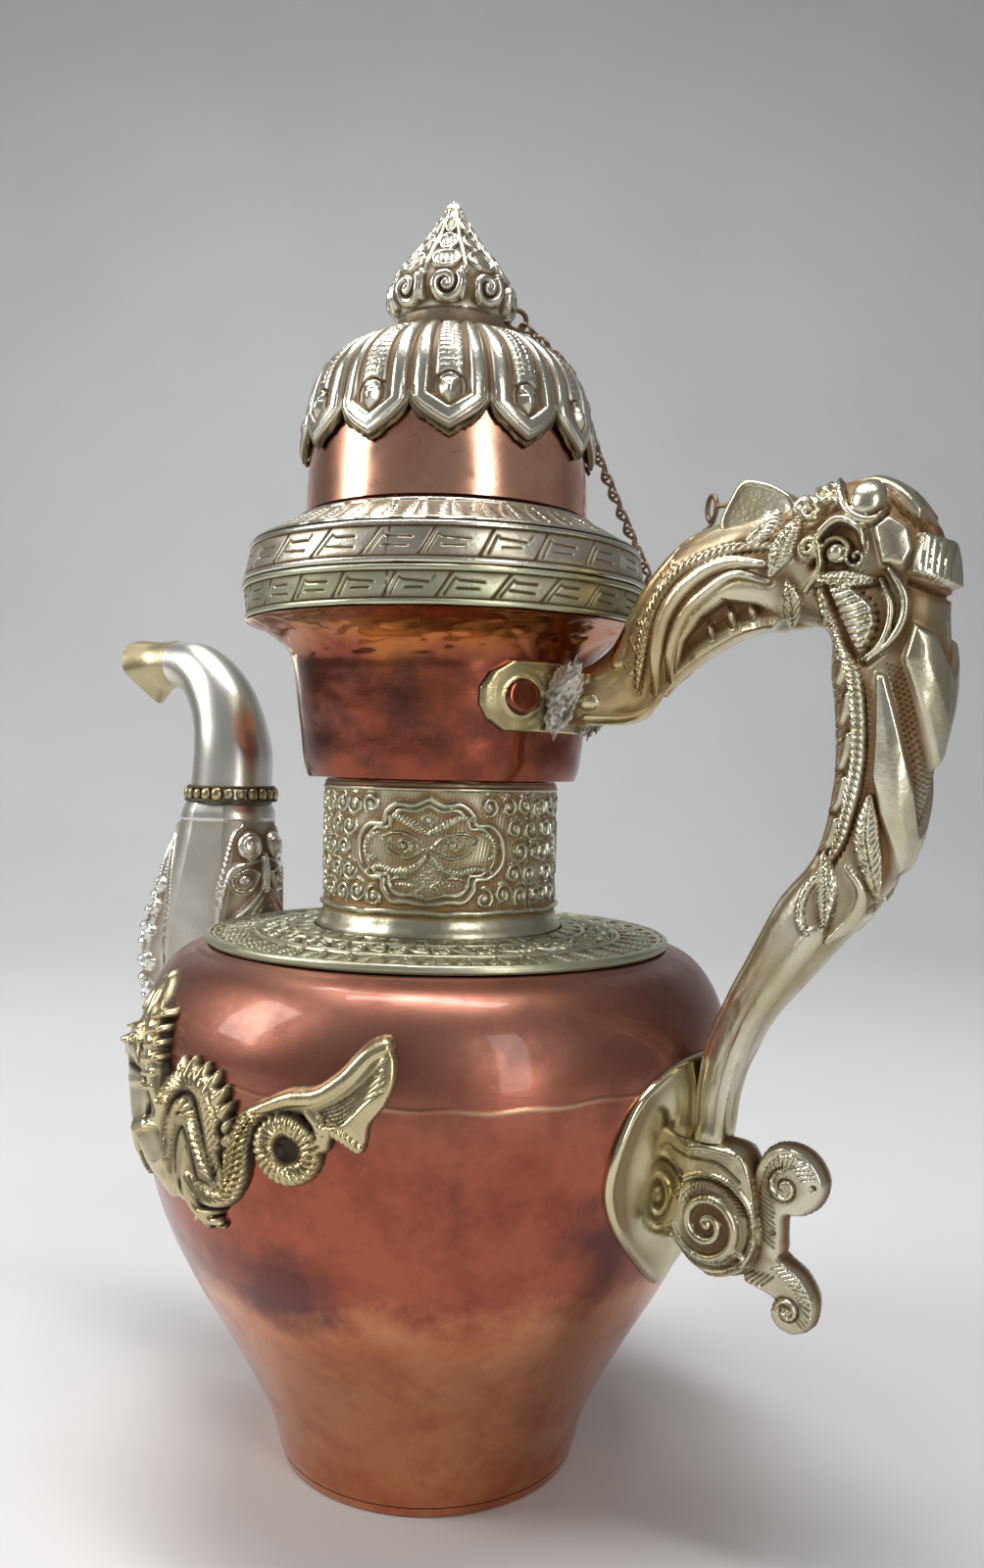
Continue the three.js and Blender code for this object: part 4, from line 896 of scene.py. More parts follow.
def make_finial():
    lobes, steps = 9, 60
    around = lobes * steps
    points = [(0.02, 301.8), (13.2, 302.2), (14.4, 303.6), (14.8, 305.8), (14.0, 307.2),
              (15.3, 308.4), (16.8, 310.9), (16.7, 314.0), (15.3, 317.8), (12.1, 322.4),
              (9.6, 325.6), (7.2, 328.9), (4.9, 332.7), (3.3, 335.6), (1.9, 338.2), (0.02, 340.2)]
    outer = resample(spline(points, 500), 240)
    along = outer[:, 1]
    phi = circle(around)
    place = in_tile(phi, lobes)
    z = np.repeat(along[None, :], around, 0)
    x = place[:, None] * (2 * math.pi / lobes) * outer[None, :, 0]
    tile = Relief(x, z)
    tile.ridge(spiral(0.2, 312.0, 0.7, 4.3, 0.55, 1.55, 60), 2.5, 1.7, [0.6, 0.9, 1, 1, 0.8])
    tile.dome(0.2, 312.0, 1.3, 1.3, 1.4)
    tile.ridge(spline([(4.5, 309), (5.3, 312.3), (4.4, 316)], 20), 1.6, 1.1)
    for level, wide, tall, line in ((319.5, 3.5, 2.5, 1.2), (325.6, 2.3, 2.5, 1.0),
                                    (331.6, 1.3, 2.4, 0.7)):
        t = np.linspace(0, 2 * math.pi, 60)
        oval = np.stack([wide * np.cos(t), level + tall * np.sin(t)], 1)
        tile.dome(0, level, wide, tall, 0.7)
        tile.ridge(oval, line, 1.0)
        for k in range(-3, 4):
            tile.groove([(-0.62 * wide, level + 0.6 * k - 0.3),
                         (0.62 * wide, level + 0.6 * k + 0.3)], 0.3, 0.3)
    between = np.mod(place, 1.0) - 0.5
    second = Relief(between[:, None] * (2 * math.pi / lobes) * outer[None, :, 0], z)
    second.ridge([(0, 315.4), (0, 322), (0, 336.5)], 1.9, 1.0, [0.6, 1, 0.8, 0.5])
    h = np.maximum(tile.h, second.h)
    gate = smooth((z - 307.3) / 1.0) * smooth((338.4 - z) / 2)
    slim = outer[None, :, 0] / 6
    h = h * gate * np.clip(slim, 0.3, 1) - 0.5 * gate * np.clip(slim, 0.2, 1)
    h += 0.16 * dents(around, len(outer), 5, 5)
    h[:, :40] *= np.linspace(0, 1, 40)[None, :]
    h[:, -3:] = 0
    g = cavity(h, 1.2, 6)
    # Darker towards the foot, under the bulge where it sits on the petals: painted shade.
    g = np.maximum(g, 0.75 * smooth((308.0 - z) / 2.5))
    lathe("finial_bud", outer, np.zeros((0, 2)), around, "lid", silver, ("finial",), h, g, 50)


# Lofted forms

CAMERA_MM = np.array([213.05, -282.72, 187.0])


def seen_on(points, plane):
    """Where each point, taken on its near side, falls on the plane Y = plane for the camera."""
    x, y, z = points[..., 0], -np.abs(points[..., 1]), points[..., 2]
    t = (plane - CAMERA_MM[1]) / (y - CAMERA_MM[1])
    return CAMERA_MM[0] + t * (x - CAMERA_MM[0]), CAMERA_MM[2] + t * (z - CAMERA_MM[2])


def grid_normals(grid, way=1.0):
    """Normals of a grid of points whose second direction wraps round."""
    turned = np.roll(grid, -1, axis=1) - np.roll(grid, 1, axis=1)
    n = np.cross(np.gradient(grid, axis=0), turned) * way
    return n / (np.linalg.norm(n, axis=-1, keepdims=True) + 1e-12)


def ring_loft(ribs, rows, ring):
    """Points of a body lofted through ribs, with a given cross-section of unit size.

    A rib is outer x, z, inner x, z and half width in Y.
    """
    line = spline(ribs, rows)
    middle, reach = (line[:, :2] + line[:, 2:4]) / 2, (line[:, :2] - line[:, 2:4]) / 2
    flat = middle[:, None, :] + reach[:, None, :] * ring[None, :, 0, None]
    return np.stack([flat[..., 0], line[:, 4][:, None] * ring[None, :, 1], flat[..., 1]], -1)


def rounded_ring(cols, roundness):
    """Unit cross-section between a circle and a square, with even steps round it."""
    def squared(v):
        return np.sign(v) * np.abs(v) ** (2 / roundness)

    a = np.linspace(0, 2 * math.pi, 4001)
    step = lengths_along(np.stack([squared(np.cos(a)), 0.8 * squared(np.sin(a))], 1))
    a = np.interp(np.linspace(0, step[-1], cols, endpoint=False), step, a)
    return np.stack([squared(np.cos(a)), squared(np.sin(a))], 1)


class Gather:
    """Collects closed grids into the points, faces and grime-and-painted-shade values of one piece.
    """

    def __init__(self):
        self.points, self.faces, self.grime, self.count = [], [], [], 0

    def tube(self, grid, grime=None, flip=False):
        """A grid whose rings run along it, closed at both ends."""
        rows, cols = grid.shape[:2]
        ends = np.stack([grid[0].mean(0), grid[-1].mean(0)])
        self.points += [grid.reshape(-1, 3), ends]
        self.faces += list(grid_faces(rows, cols, False, True, self.count, flip))
        first, last = self.count + rows * cols, self.count + rows * cols + 1
        for j in range(cols):
            k = (j + 1) % cols
            low = [first, self.count + j, self.count + k]
            high = [last, self.count + (rows - 1) * cols + k, self.count + (rows - 1) * cols + j]
            self.faces += [low, high] if flip else [low[::-1], high[::-1]]
        self.grime += [np.full(rows * cols, 0.45) if grime is None else grime.ravel(), [0.6, 0.6]]
        self.count += rows * cols + 2
        return self

    def torus(self, grid, grime, flip=False):
        """A grid that wraps both ways."""
        rows, cols = grid.shape[:2]
        self.points.append(grid.reshape(-1, 3))
        self.faces += list(grid_faces(rows, cols, True, True, self.count, flip))
        self.grime.append(grime)
        self.count += rows * cols
        return self

    def piece(self, name, body, material, replaced=(), sharp=45):
        return mesh_piece(name, np.concatenate(self.points), self.faces, body, material, replaced,
                          np.concatenate(self.grime), sharp)


def outward(grid):
    """1 or -1, so that the normals of a closed grid point out of it."""
    n = grid_normals(grid)
    out = grid - grid.mean(axis=1, keepdims=True)
    return 1.0 if (n * out).sum() > 0 else -1.0


def leaf(relief, points, width, height, step=1.1, slant=1.0):
    """A leaf with a middle groove and slanting veins on both halves."""
    relief.groove(points, width + 2.4, 0.55)
    relief.ridge(points, width, height, [0.3, 0.8, 1, 0.9, 0.6, 0.15], blunt=2.6)
    track = spline(points, 14)
    relief.groove(track, 0.7, 0.5)
    count = max(int(length_of(track) / step), 3)
    fine = spline(points, count + 1)
    ahead = tangents(fine)
    for i in range(1, count):
        w = width / 2 * math.sin(math.pi * (0.12 + 0.8 * i / count))
        side = np.array([-ahead[i, 1], ahead[i, 0]])
        for way in (-1, 1):
            relief.groove([fine[i], fine[i] + way * side * w + ahead[i] * slant * w], 0.5, 0.35)


# Handle

HANDLE_RIBS = [(41.6, 211.9, 41.6, 196.7, 8.1), (48, 212.5, 52, 196.8, 7.4),
               (56, 218.5, 62, 198.9, 7.5), (61, 227.4, 69, 206.1, 8.5),
               (67.5, 236.0, 77, 212.1, 9.6), (75.5, 242.4, 86, 216.9, 10.6),
               (86, 245.6, 93, 218.9, 11.6), (97.5, 247.2, 97.5, 219.1, 12.3),
               (105, 249.3, 103, 220.0, 12.6), (113, 251.6, 107, 219.3, 12.7),
               (121, 251.2, 109, 218.3, 12.6), (128.3, 246.6, 110.2, 217.3, 12.3),
               (133.4, 240.0, 110.8, 215.8, 12.0), (135.7, 231.5, 111, 214.1, 11.8),
               (135.6, 222.0, 111, 212.2, 11.7), (136, 211, 110.8, 209, 11.6),
               (134.6, 198, 112, 198.9, 11.0), (131.7, 180.5, 112, 185.5, 10.0),
               (125.4, 161.5, 108.5, 169, 9.0), (112.7, 145.6, 99.5, 157, 8.1),
               (104.3, 135.7, 92.5, 144, 7.1), (97.3, 126.5, 86.8, 132.9, 6.3),
               (92.6, 118, 82.4, 122.5, 5.9), (89.8, 110, 80.2, 112, 5.7),
               (88.2, 98.6, 79.4, 98.6, 5.6)]


def trunk_relief(x, z):
    r = Relief(x, z)
    r.sunk([(76.5, 208), (77, 216), (81, 222), (87, 226), (96, 224), (103, 220), (99, 218.6),
            (90, 215.6), (83, 212)], 3.4, 2.6)
    r.ridge([(60, 212), (62, 222), (68, 232), (75, 240), (80, 243)], 3.4, 0.9)
    ribs = [([(66, 205), (67, 217), (70, 226), (76, 233), (84, 236), (92, 237.4), (100, 237)], 3.2,
             0.9), ([(71, 204), (71, 217), (74, 225), (80, 231), (88, 234), (97, 233)], 4.0, 1.5),
            ([(75.5, 205), (74.6, 214), (77.4, 222), (82.5, 227), (90, 231), (98, 229)], 3.0, 1.3)]
    for line, width, height in ribs:
        smooth_line = spline(line, 40)
        r.groove(smooth_line, width + 1.8, 0.5)
        r.ridge(smooth_line, width, height, [0.3, 1, 1, 1, 0.9, 0.5])
    hatched(r, ribs[0][0], 3.0, 1.7, 0.9, 0.45, 0.7)
    r.ridge(spline([(52, 198), (66, 198), (72, 201), (77, 207.5), (90, 215.4), (100, 218.2)], 40),
            2.6, 0.9)
    for tip in ((83.5, 219.5), (88, 222.5), (93, 223)):
        r.ridge([(tip[0] + 3, tip[1] - 5.5), (tip[0] + 1, tip[1] - 2), tip], 2.4, 1.6,
                [1, 0.8, 0.2], base=-2.6)
    leaf(r, [(99, 230.5), (101.5, 236), (105.5, 243.5)], 5.6, 1.4)
    leaf(r, [(93, 238), (97, 241), (101, 247)], 5.0, 1.1)
    leaf(r, [(104.5, 218), (104.4, 223), (102.8, 229)], 4.4, 1.5)
    for k in range(7):
        r.ridge([(64 + 1.7 * k, 209 + 4.6 * k - 0.12 * k * k),
                 (61.5 + 2.1 * k, 213 + 4.6 * k - 0.15 * k * k)], 1.2, 0.5)
    for knob in ((47.5, 205.5, 3.2, 2.6, 1.6), (52.5, 202.2, 2.8, 2.2, 1.2),
                 (50.5, 208.4, 2.2, 1.8, 1.0)):
        r.dome(*knob)
    return r.h


def head_relief(x, z):
    r = Relief(x, z)
    r.sunk([(108, 230.5), (109, 238), (114, 241.5), (119, 240), (121.5, 234), (120, 230),
            (114, 229)], 1.6, 1.6)
    r.ridge(spiral(114.6, 234.2, 0.9, 3.6, 0.1, 1.5, 60), 1.5, 1.7, [0.6, 1, 1, 0.7], base=-0.9)
    r.dome(114.6, 234.2, 1.9, 1.9, 2.0, base=-0.6)
    r.ridge(spline([(109.4, 233), (110.8, 238), (115, 241), (119.6, 238.8), (121, 234.6)], 30), 2.0,
            1.9, [0.5, 1, 1, 1, 0.5])
    r.ridge(spiral(119.2, 232.6, 0.5, 2.4, 0.5, -1.1, 30), 1.1, 1.3)
    for centre, size, way in (((108.2, 243.6), 3.0, 1.3), ((108.6, 235.4), 2.2, -1.2),
                              ((112.2, 246.6), 2.8, -1.3)):
        r.groove(spiral(*centre, size + 1.2, size + 1.2, 0, 1, 30), 1.2, 0.5)
        r.ridge(spiral(*centre, 0.5, size, 0.2, way, 40), 1.4, 1.5)
    brow = spline([(115.5, 251), (115.4, 246), (117.4, 242.2), (122, 240.2), (125.6, 242.4)], 30)
    r.groove(brow, 3.6, 0.8)
    r.ridge(brow, 2.0, 1.8, [0.6, 1, 1, 1, 0.4])
    r.dome(121.4, 245.2, 4.2, 3.6, 2.3, 0.5)
    r.ridge(spline([(117.6, 250.2), (122, 250.2), (127.6, 247.4), (132.6, 241.4)], 30), 2.8, 1.6,
            [0.6, 1, 1, 0.5])
    r.raised([(122.2, 238.8), (126, 241.4), (130.6, 238.2), (131.6, 233), (129.6, 229.4),
              (124.4, 230.4)], 1.5, 1.1, 0.6)
    for k in range(7):
        r.groove([(126.8 + 1.7 * k, 244.4 - 1.2 * k), (130.4 + 1.7 * k, 239.6 - 1.4 * k)], 0.8, 0.7)
    r.raised([(132.4, 237), (143, 233), (142.5, 223.8), (130.4, 228.2)], 2.2, 0.7)
    r.groove([(130.6, 226.8), (142, 222)], 1.8, 1.4)
    for k in range(6):
        r.groove([(133.4 + 1.3 * k, 236.0 - 0.5 * k), (132.6 + 1.3 * k, 229.2 - 0.6 * k)], 0.5,
                 0.35)
    leaf(r, [(110.4, 228.6), (116, 228.2), (124.4, 227.2)], 4.0, 1.4)
    r.ridge(spline([(108, 226), (111, 231), (110.4, 236)], 20), 1.6, 1.2)
    outer = [(126.4, 229.6), (129.8, 223.4), (128.6, 216.6), (122, 210.4)]
    inner = [(124.6, 227.6), (126.9, 221.4), (125.2, 214.2), (121, 210.6)]
    for line, width in ((outer, 2.2), (inner, 1.7)):
        r.groove(spline(line, 30), width + 1.6, 0.8)
        r.ridge(spline(line, 30), width, 1.9, [0.5, 1, 1, 0.4])
    ear = [(112.8, 227.2), (118.8, 226.4), (123.4, 222.4), (124.2, 218), (121.8, 213), (120, 211.8)]
    r.groove([(112.2, 226.6), (119.2, 211.4)], 2.0, 1.2)
    r.raised(ear, 1.9, 0.9, 0.5)
    for k in range(10):
        t = (k + 0.5) / 10
        start = np.array([112.8, 227.2]) * (1 - t) + np.array([120, 211.8]) * t
        reach = np.array([7.6, 2.0]) * math.sin(math.pi * (0.12 + 0.8 * t))
        r.groove([start + (0.6, 0.3), start + reach], 0.75, 0.8)
    return r.h


def arm_relief(x, z):
    r = Relief(x, z)
    cord = [(110.4, 226), (114, 216), (118, 207), (119.2, 200), (119.5, 190), (118, 180),
            (115.6, 171), (112, 165)]
    field_a = [(122.6, 208.6), (122.8, 195), (122.4, 186), (124, 178), (127, 170), (128.6, 164),
               (131.2, 167), (133.6, 173), (132.4, 183), (129.2, 196), (125.8, 208)]
    field_b = [(130.6, 219), (136, 216), (139.5, 207), (141.5, 199), (142, 192), (138.6, 185.4),
               (135.2, 188), (133, 197), (128.4, 211)]
    field_c = [(138, 221), (148, 221), (148, 192), (143.4, 196), (142.4, 205)]
    r.raised(field_a, 1.5, 1.3, 0.7)
    r.raised(field_b, 1.6, 1.3, 0.7)
    r.raised(field_c, 0.9, 1.2)
    strip = spline([(127, 209.5), (131, 196.5), (134, 184), (134.6, 174)], 30)
    hatched(r, strip, 3.4, 1.25, 0.7, 0.5, 0.6)
    hatched(r, [(138, 216), (141.4, 206), (143.4, 197), (141, 186)], 3.2, 1.5, -1.6, 0.45, 0.6)
    hatched(r, [(121.2, 207), (121.2, 190), (121.6, 182)], 1.8, 1.3, 0.6, 0.3, 0.5)
    r.groove(spline(cord, 50), 5.2, 0.8)
    r.ridge(spline(cord, 50), 3.4, 1.6, [0.7, 1, 1, 1, 1, 1, 0.8, 0.3])
    hatched(r, cord, 3.4, 1.6, 1.0, 0.6, 0.75)
    scallops = [
        [(110.8, 203), (115, 206), (116.4, 210.6)], [(111.6, 195), (116, 197.4), (117.4, 203.4)],
        [(111.6, 186), (116, 187.8), (117.8, 194.6)], [(110.6, 177), (115, 178.8), (117, 185)],
        [(108.6, 168.4), (113.4, 170.6), (115.4, 176)],
    ]
    for line in scallops:
        curve = spline(line, 20)
        r.groove(curve - (0.9, -0.9), 1.4, 0.9)
        r.ridge(curve, 1.7, 1.5)
        middle = np.array(line[1]) + (-1.6, 3.2)
        r.ridge([middle - (1.6, 0.6), middle + (1.2, 2.6)], 1.3, 0.9)
        r.ridge([middle - (2.8, -1.2), middle + (-0.4, 4.4)], 1.1, 0.8)
    leaf(r, [(110.4, 210), (111.6, 215), (112.4, 221)], 5.0, 1.3)
    leaf(r, [(122.4, 181), (122, 172), (125, 159)], 6.4, 1.5, 1.4, -0.8)
    r.groove(spline([(123.5, 156.5), (131.6, 162.4), (135.4, 171)], 20), 1.6, 0.9)
    r.ridge(spline([(124.6, 154.6), (133.4, 161.2), (137.4, 170)], 20), 2.6, 1.4, [0.4, 1, 0.8])
    hatched(r, [(124.6, 154.6), (133.4, 161.2), (137.4, 170)], 2.4, 1.4, 0.6, 0.4, 0.6)
    r.ridge(spline([(117.6, 166), (121.4, 160.4), (119.4, 154.4), (113.8, 149)], 30), 2.6, 1.2,
            [0.5, 1, 1, 0.4])
    tip = spline([(113.4, 166), (108.4, 160), (107.6, 152.6), (111.8, 148.4)], 30)
    r.groove(tip, 3.2, 0.6)
    r.ridge(tip, 2.0, 1.1, [1, 1, 0.8, 0.3])
    hatched(r, tip, 2.0, 1.7, 0.4, 0.4, 0.6)
    leaf(r, [(112.6, 168.4), (113.4, 160), (113, 151.4)], 4.6, 1.2)
    ridge_line = spline([(111, 150), (104.8, 141.6), (98.4, 132), (94.2, 122.4), (91.4, 112),
                         (90.4, 100)], 40)
    r.ridge(ridge_line, 4.8, 0.7, blunt=1.2)
    return r.h


def make_handle():
    rows, cols = 640, 300
    grid = ring_loft(HANDLE_RIBS, rows, rounded_ring(cols, 2.5))
    way = outward(grid)
    n = grid_normals(grid, way)
    drawn = [rule(*seen_on(grid, plane))
             for rule, plane in ((trunk_relief, -11.0), (head_relief, -13.0), (arm_relief, -10.0))]
    flat = np.zeros((rows, cols))
    h = np.maximum.reduce([flat, *drawn]) + np.minimum.reduce([flat, *drawn])
    shown = smooth((0.6 * n[..., 0] + 0.8 * np.abs(n[..., 1]) + 0.12) / 0.3)
    fade = smooth((grid[..., 2] - 100) / 4)
    h = (h - 0.55) * shown * fade + 0.10 * dents(rows, cols, 8, 8) + 0.05 * dents(rows, cols, 3, 3)
    moved = grid + n * h[..., None]
    moved[..., 0] = np.minimum(moved[..., 0], 136.9)
    g = np.clip(cavity(h, 2.0, 9) * 0.9 + 0.05 * (1 - shown), 0, 1)
    Gather().tube(moved, g, way < 0).piece(
        "handle_casting", "ewer", pale, ("handle_trunk", "handle_head", "handle_arm"))


def make_snout():
    face = [(85.6, 240.0), (84.9, 243.6), (87.4, 249.2), (90.2, 252.9), (94.0, 252.6),
            (98.4, 250.9), (102.6, 247.6), (103.6, 243.4), (100, 240.2), (92, 239.4)]
    outline = spline([*face, face[0]], 240)[:-1]
    middle = outline.mean(0)
    half = 8.3
    levels = [(0.0, 1.0), (0.5, 1.0), (0.86, 1.0), (0.93, 0.99), (0.965, 0.955), (0.985, 0.92),
              (0.99, 0.86), (0.975, 0.82), (0.97, 0.7), (0.97, 0.4), (0.97, 0.02)]
    rings = []
    for side, share in [(-y, s) for y, s in levels[::-1]] + levels[1:]:
        ring = middle + (outline - middle) * share
        rings.append(np.stack([ring[:, 0], np.full(len(ring), side * half), ring[:, 1]], 1))
    grid = np.stack(rings)
    g = 0.55 - 0.2 * (np.abs(grid[..., 1]) > 7.8)
    Gather().tube(grid, g, outward(grid) < 0).piece("snout_plate", "ewer", pale, (), 50)


# Socket with its scrolls

def kept_quads(solid, flip=False):
    """Quads of a grid with a solid corner, numbered anew, and the places they use."""
    keep = solid[:-1, :-1] | solid[1:, :-1] | solid[:-1, 1:] | solid[1:, 1:]
    quads = grid_faces(*solid.shape, False, False, 0, flip)[keep.ravel()]
    used = np.unique(quads)
    index = np.full(solid.size, -1)
    index[used] = np.arange(len(used))
    return index[quads], used


def two_sided(quads, count):
    """Faces of a front and a back of count points each, with walls along their rim."""
    edges = np.concatenate([quads[:, [k, (k + 1) % 4]] for k in range(4)])
    key, opposite = edges[:, 0] * count + edges[:, 1], edges[:, 1] * count + edges[:, 0]
    rim = edges[~np.isin(key, opposite)]
    walls = np.stack([rim[:, 1], rim[:, 0], rim[:, 0] + count, rim[:, 1] + count], 1)
    return np.concatenate([quads, quads[:, ::-1] + count, walls])


def make_socket():
    step = 0.27
    x, z = np.meshgrid(np.arange(70.5, 114.0, step), np.arange(56.4, 101.6, step), indexing="ij")
    block = spline([(72, 99.6), (84, 99.6), (92.6, 98.6), (95.6, 94.6), (97.2, 88), (98.4, 80),
                    (97.2, 73.4), (93.4, 68.6), (87.4, 66.4), (81.6, 67.6), (76.6, 71.4),
                    (72.4, 77), (71, 88), (72, 99.6)], 160)[:-1]
    upper = spline([(95.2, 88), (95.4, 94), (98.2, 98.8), (102.6, 101.0), (107.6, 100.0),
                    (111.2, 96.6), (112.6, 92.4), (110.8, 88.0), (106.6, 84.8), (103.4, 84.2),
                    (102.8, 79.4), (102.6, 74.8), (98, 72), (95, 76), (95, 82), (95.2, 88)],
                   200)[:-1]
    lower = spline([(93.6, 76), (99.6, 76.6), (103.6, 74.2), (107.8, 71.4), (110.8, 66.4),
                    (110.2, 60.8), (106.4, 57.6), (101.8, 58.6), (99.8, 62.0), (100.8, 64.6),
                    (97.4, 66.0), (93.4, 67.4), (93.6, 76)], 200)[:-1]
    r = Relief(x, z)
    r.raised(block, 4.4, 1.5, 0.5)
    r.raised(upper, 2.7, 0.9, 0.3)
    r.raised(lower, 2.7, 0.9, 0.3)
    body = r.h > 0.02
    half = r.h + 0.9
    big = Relief(x, z)
    centre = (85.2, 79.6)
    big.ridge(spiral(*centre, 0.8, 8.6, 0.5, -1.9, 110), 2.5, 1.7, [0.6, 0.9, 1, 1, 1, 0.7])
    big.dome(*centre, 1.5, 1.5, 1.7)
    big.groove(spiral(*centre, 10.4, 10.2, 0.42, -0.92, 90), 1.1, 0.8)
    big.ridge(spiral(*centre, 11.8, 12.0, 0.36, -0.62, 80), 1.5, 0.9, [0.4, 1, 1, 0.5])
    hatched(big, [(81, 88.6), (86.4, 90), (91.4, 88), (95, 83.4)], 2.6, 0.95, 0.7, 0.4, 0.4)
    hatched(big, [(78.4, 84.6), (82.6, 86.8), (88, 86.2)], 2.2, 0.85, 0.8, 0.35, 0.4)
    hatched(big, [(80.6, 72.4), (86, 70.4), (91.6, 73)], 2.4, 0.9, -0.8, 0.35, 0.4)
    big.ridge(spline([(73.4, 97.6), (78, 96.6), (84, 97.4), (92, 97)], 30), 1.5, 0.7,
              [0.5, 1, 1, 0.5])
    big.groove(spline([(72.8, 95.2), (80, 94.6), (88, 94.2), (93, 91)], 30), 0.9, 0.6)
    big.ridge(spline([(74.4, 95), (74.6, 88), (75.4, 80), (79, 73)], 30), 1.4, 0.6,
              [0.5, 1, 1, 0.5])
    hatched(big, [(91, 70.8), (95.4, 69.4), (99.6, 69)], 3.2, 1.2, 0.9, 0.5, 0.6)
    big.ridge(spline([(90.2, 74.6), (93.6, 74), (95.2, 71.6), (93, 70.6)], 30), 1.2, 1.0,
              [0.4, 1, 1, 0.5])
    for middle, radius, way, start in (((103.2, 91.4), 3.6, -1.0, 0.62),
                                       ((104.6, 63.2), 2.7, 1.0, 0.15)):
        big.ridge(spiral(*middle, 0.4, radius, start, 1.35 * way, 70), 1.1, 0.8, [0.6, 1, 1, 0.7])
        big.groove(spiral(*middle, 1.0, radius + 0.9, start, 1.35 * way, 70), 0.7, 0.7)
    big.groove(spline([(97.6, 76), (97.2, 82), (97.4, 90), (99.6, 96.4), (104, 99.2), (108.4, 98)],
                      60), 0.6, 0.4)
    hatched(big, [(99.6, 78), (99.4, 84), (99.0, 90), (101, 95.6), (105.6, 97.4), (109.2, 94.4)],
            3.4, 1.1, 0.6, 0.5, 0.4)
    hatched(big, [(102.4, 73), (106.4, 70), (108.6, 65.6), (107.6, 61)], 3.0, 1.1, 0.6, 0.5, 0.4)
    big.pit(110.0, 92.6, 0.9, 1.6)
    big.pit(100.4, 80.4, 1.2, 0.9)
    half = np.where(body, half + big.h + 0.06 * dents(*x.shape, 4, 4), 0)
    plate, seat_half = belly_radius(z) + 1.1, 3
    seat = np.sqrt(np.maximum(plate**2 - seat_half**2, 1))
    half = np.where(x > seat - 0.4, half, 0)
    solid = half > 0.3
    quads, used = kept_quads(solid)
    near = np.stack([x, -np.where(solid, half, 0.05), z], -1).reshape(-1, 3)[used]
    grime = cavity(half * (half > 0) + 1.5 * (half <= 0), 1.6, 7).ravel()[used]
    mesh_piece("handle_scrolls", np.concatenate([near, near * (1, -1, 1)]),
               two_sided(quads, len(used)), "ewer", pale, ("handle_socket",),
               np.concatenate([grime, grime]), 50)


# Dragons laid on the belly. Places are degrees round from the handle and heights.

DRAGON_RADIUS = 79.2
ARC = math.pi / 180 * DRAGON_RADIUS


def laid(points):
    """Places in degrees and heights as arc lengths and heights."""
    return [(-a * ARC, z) for a, z in points]


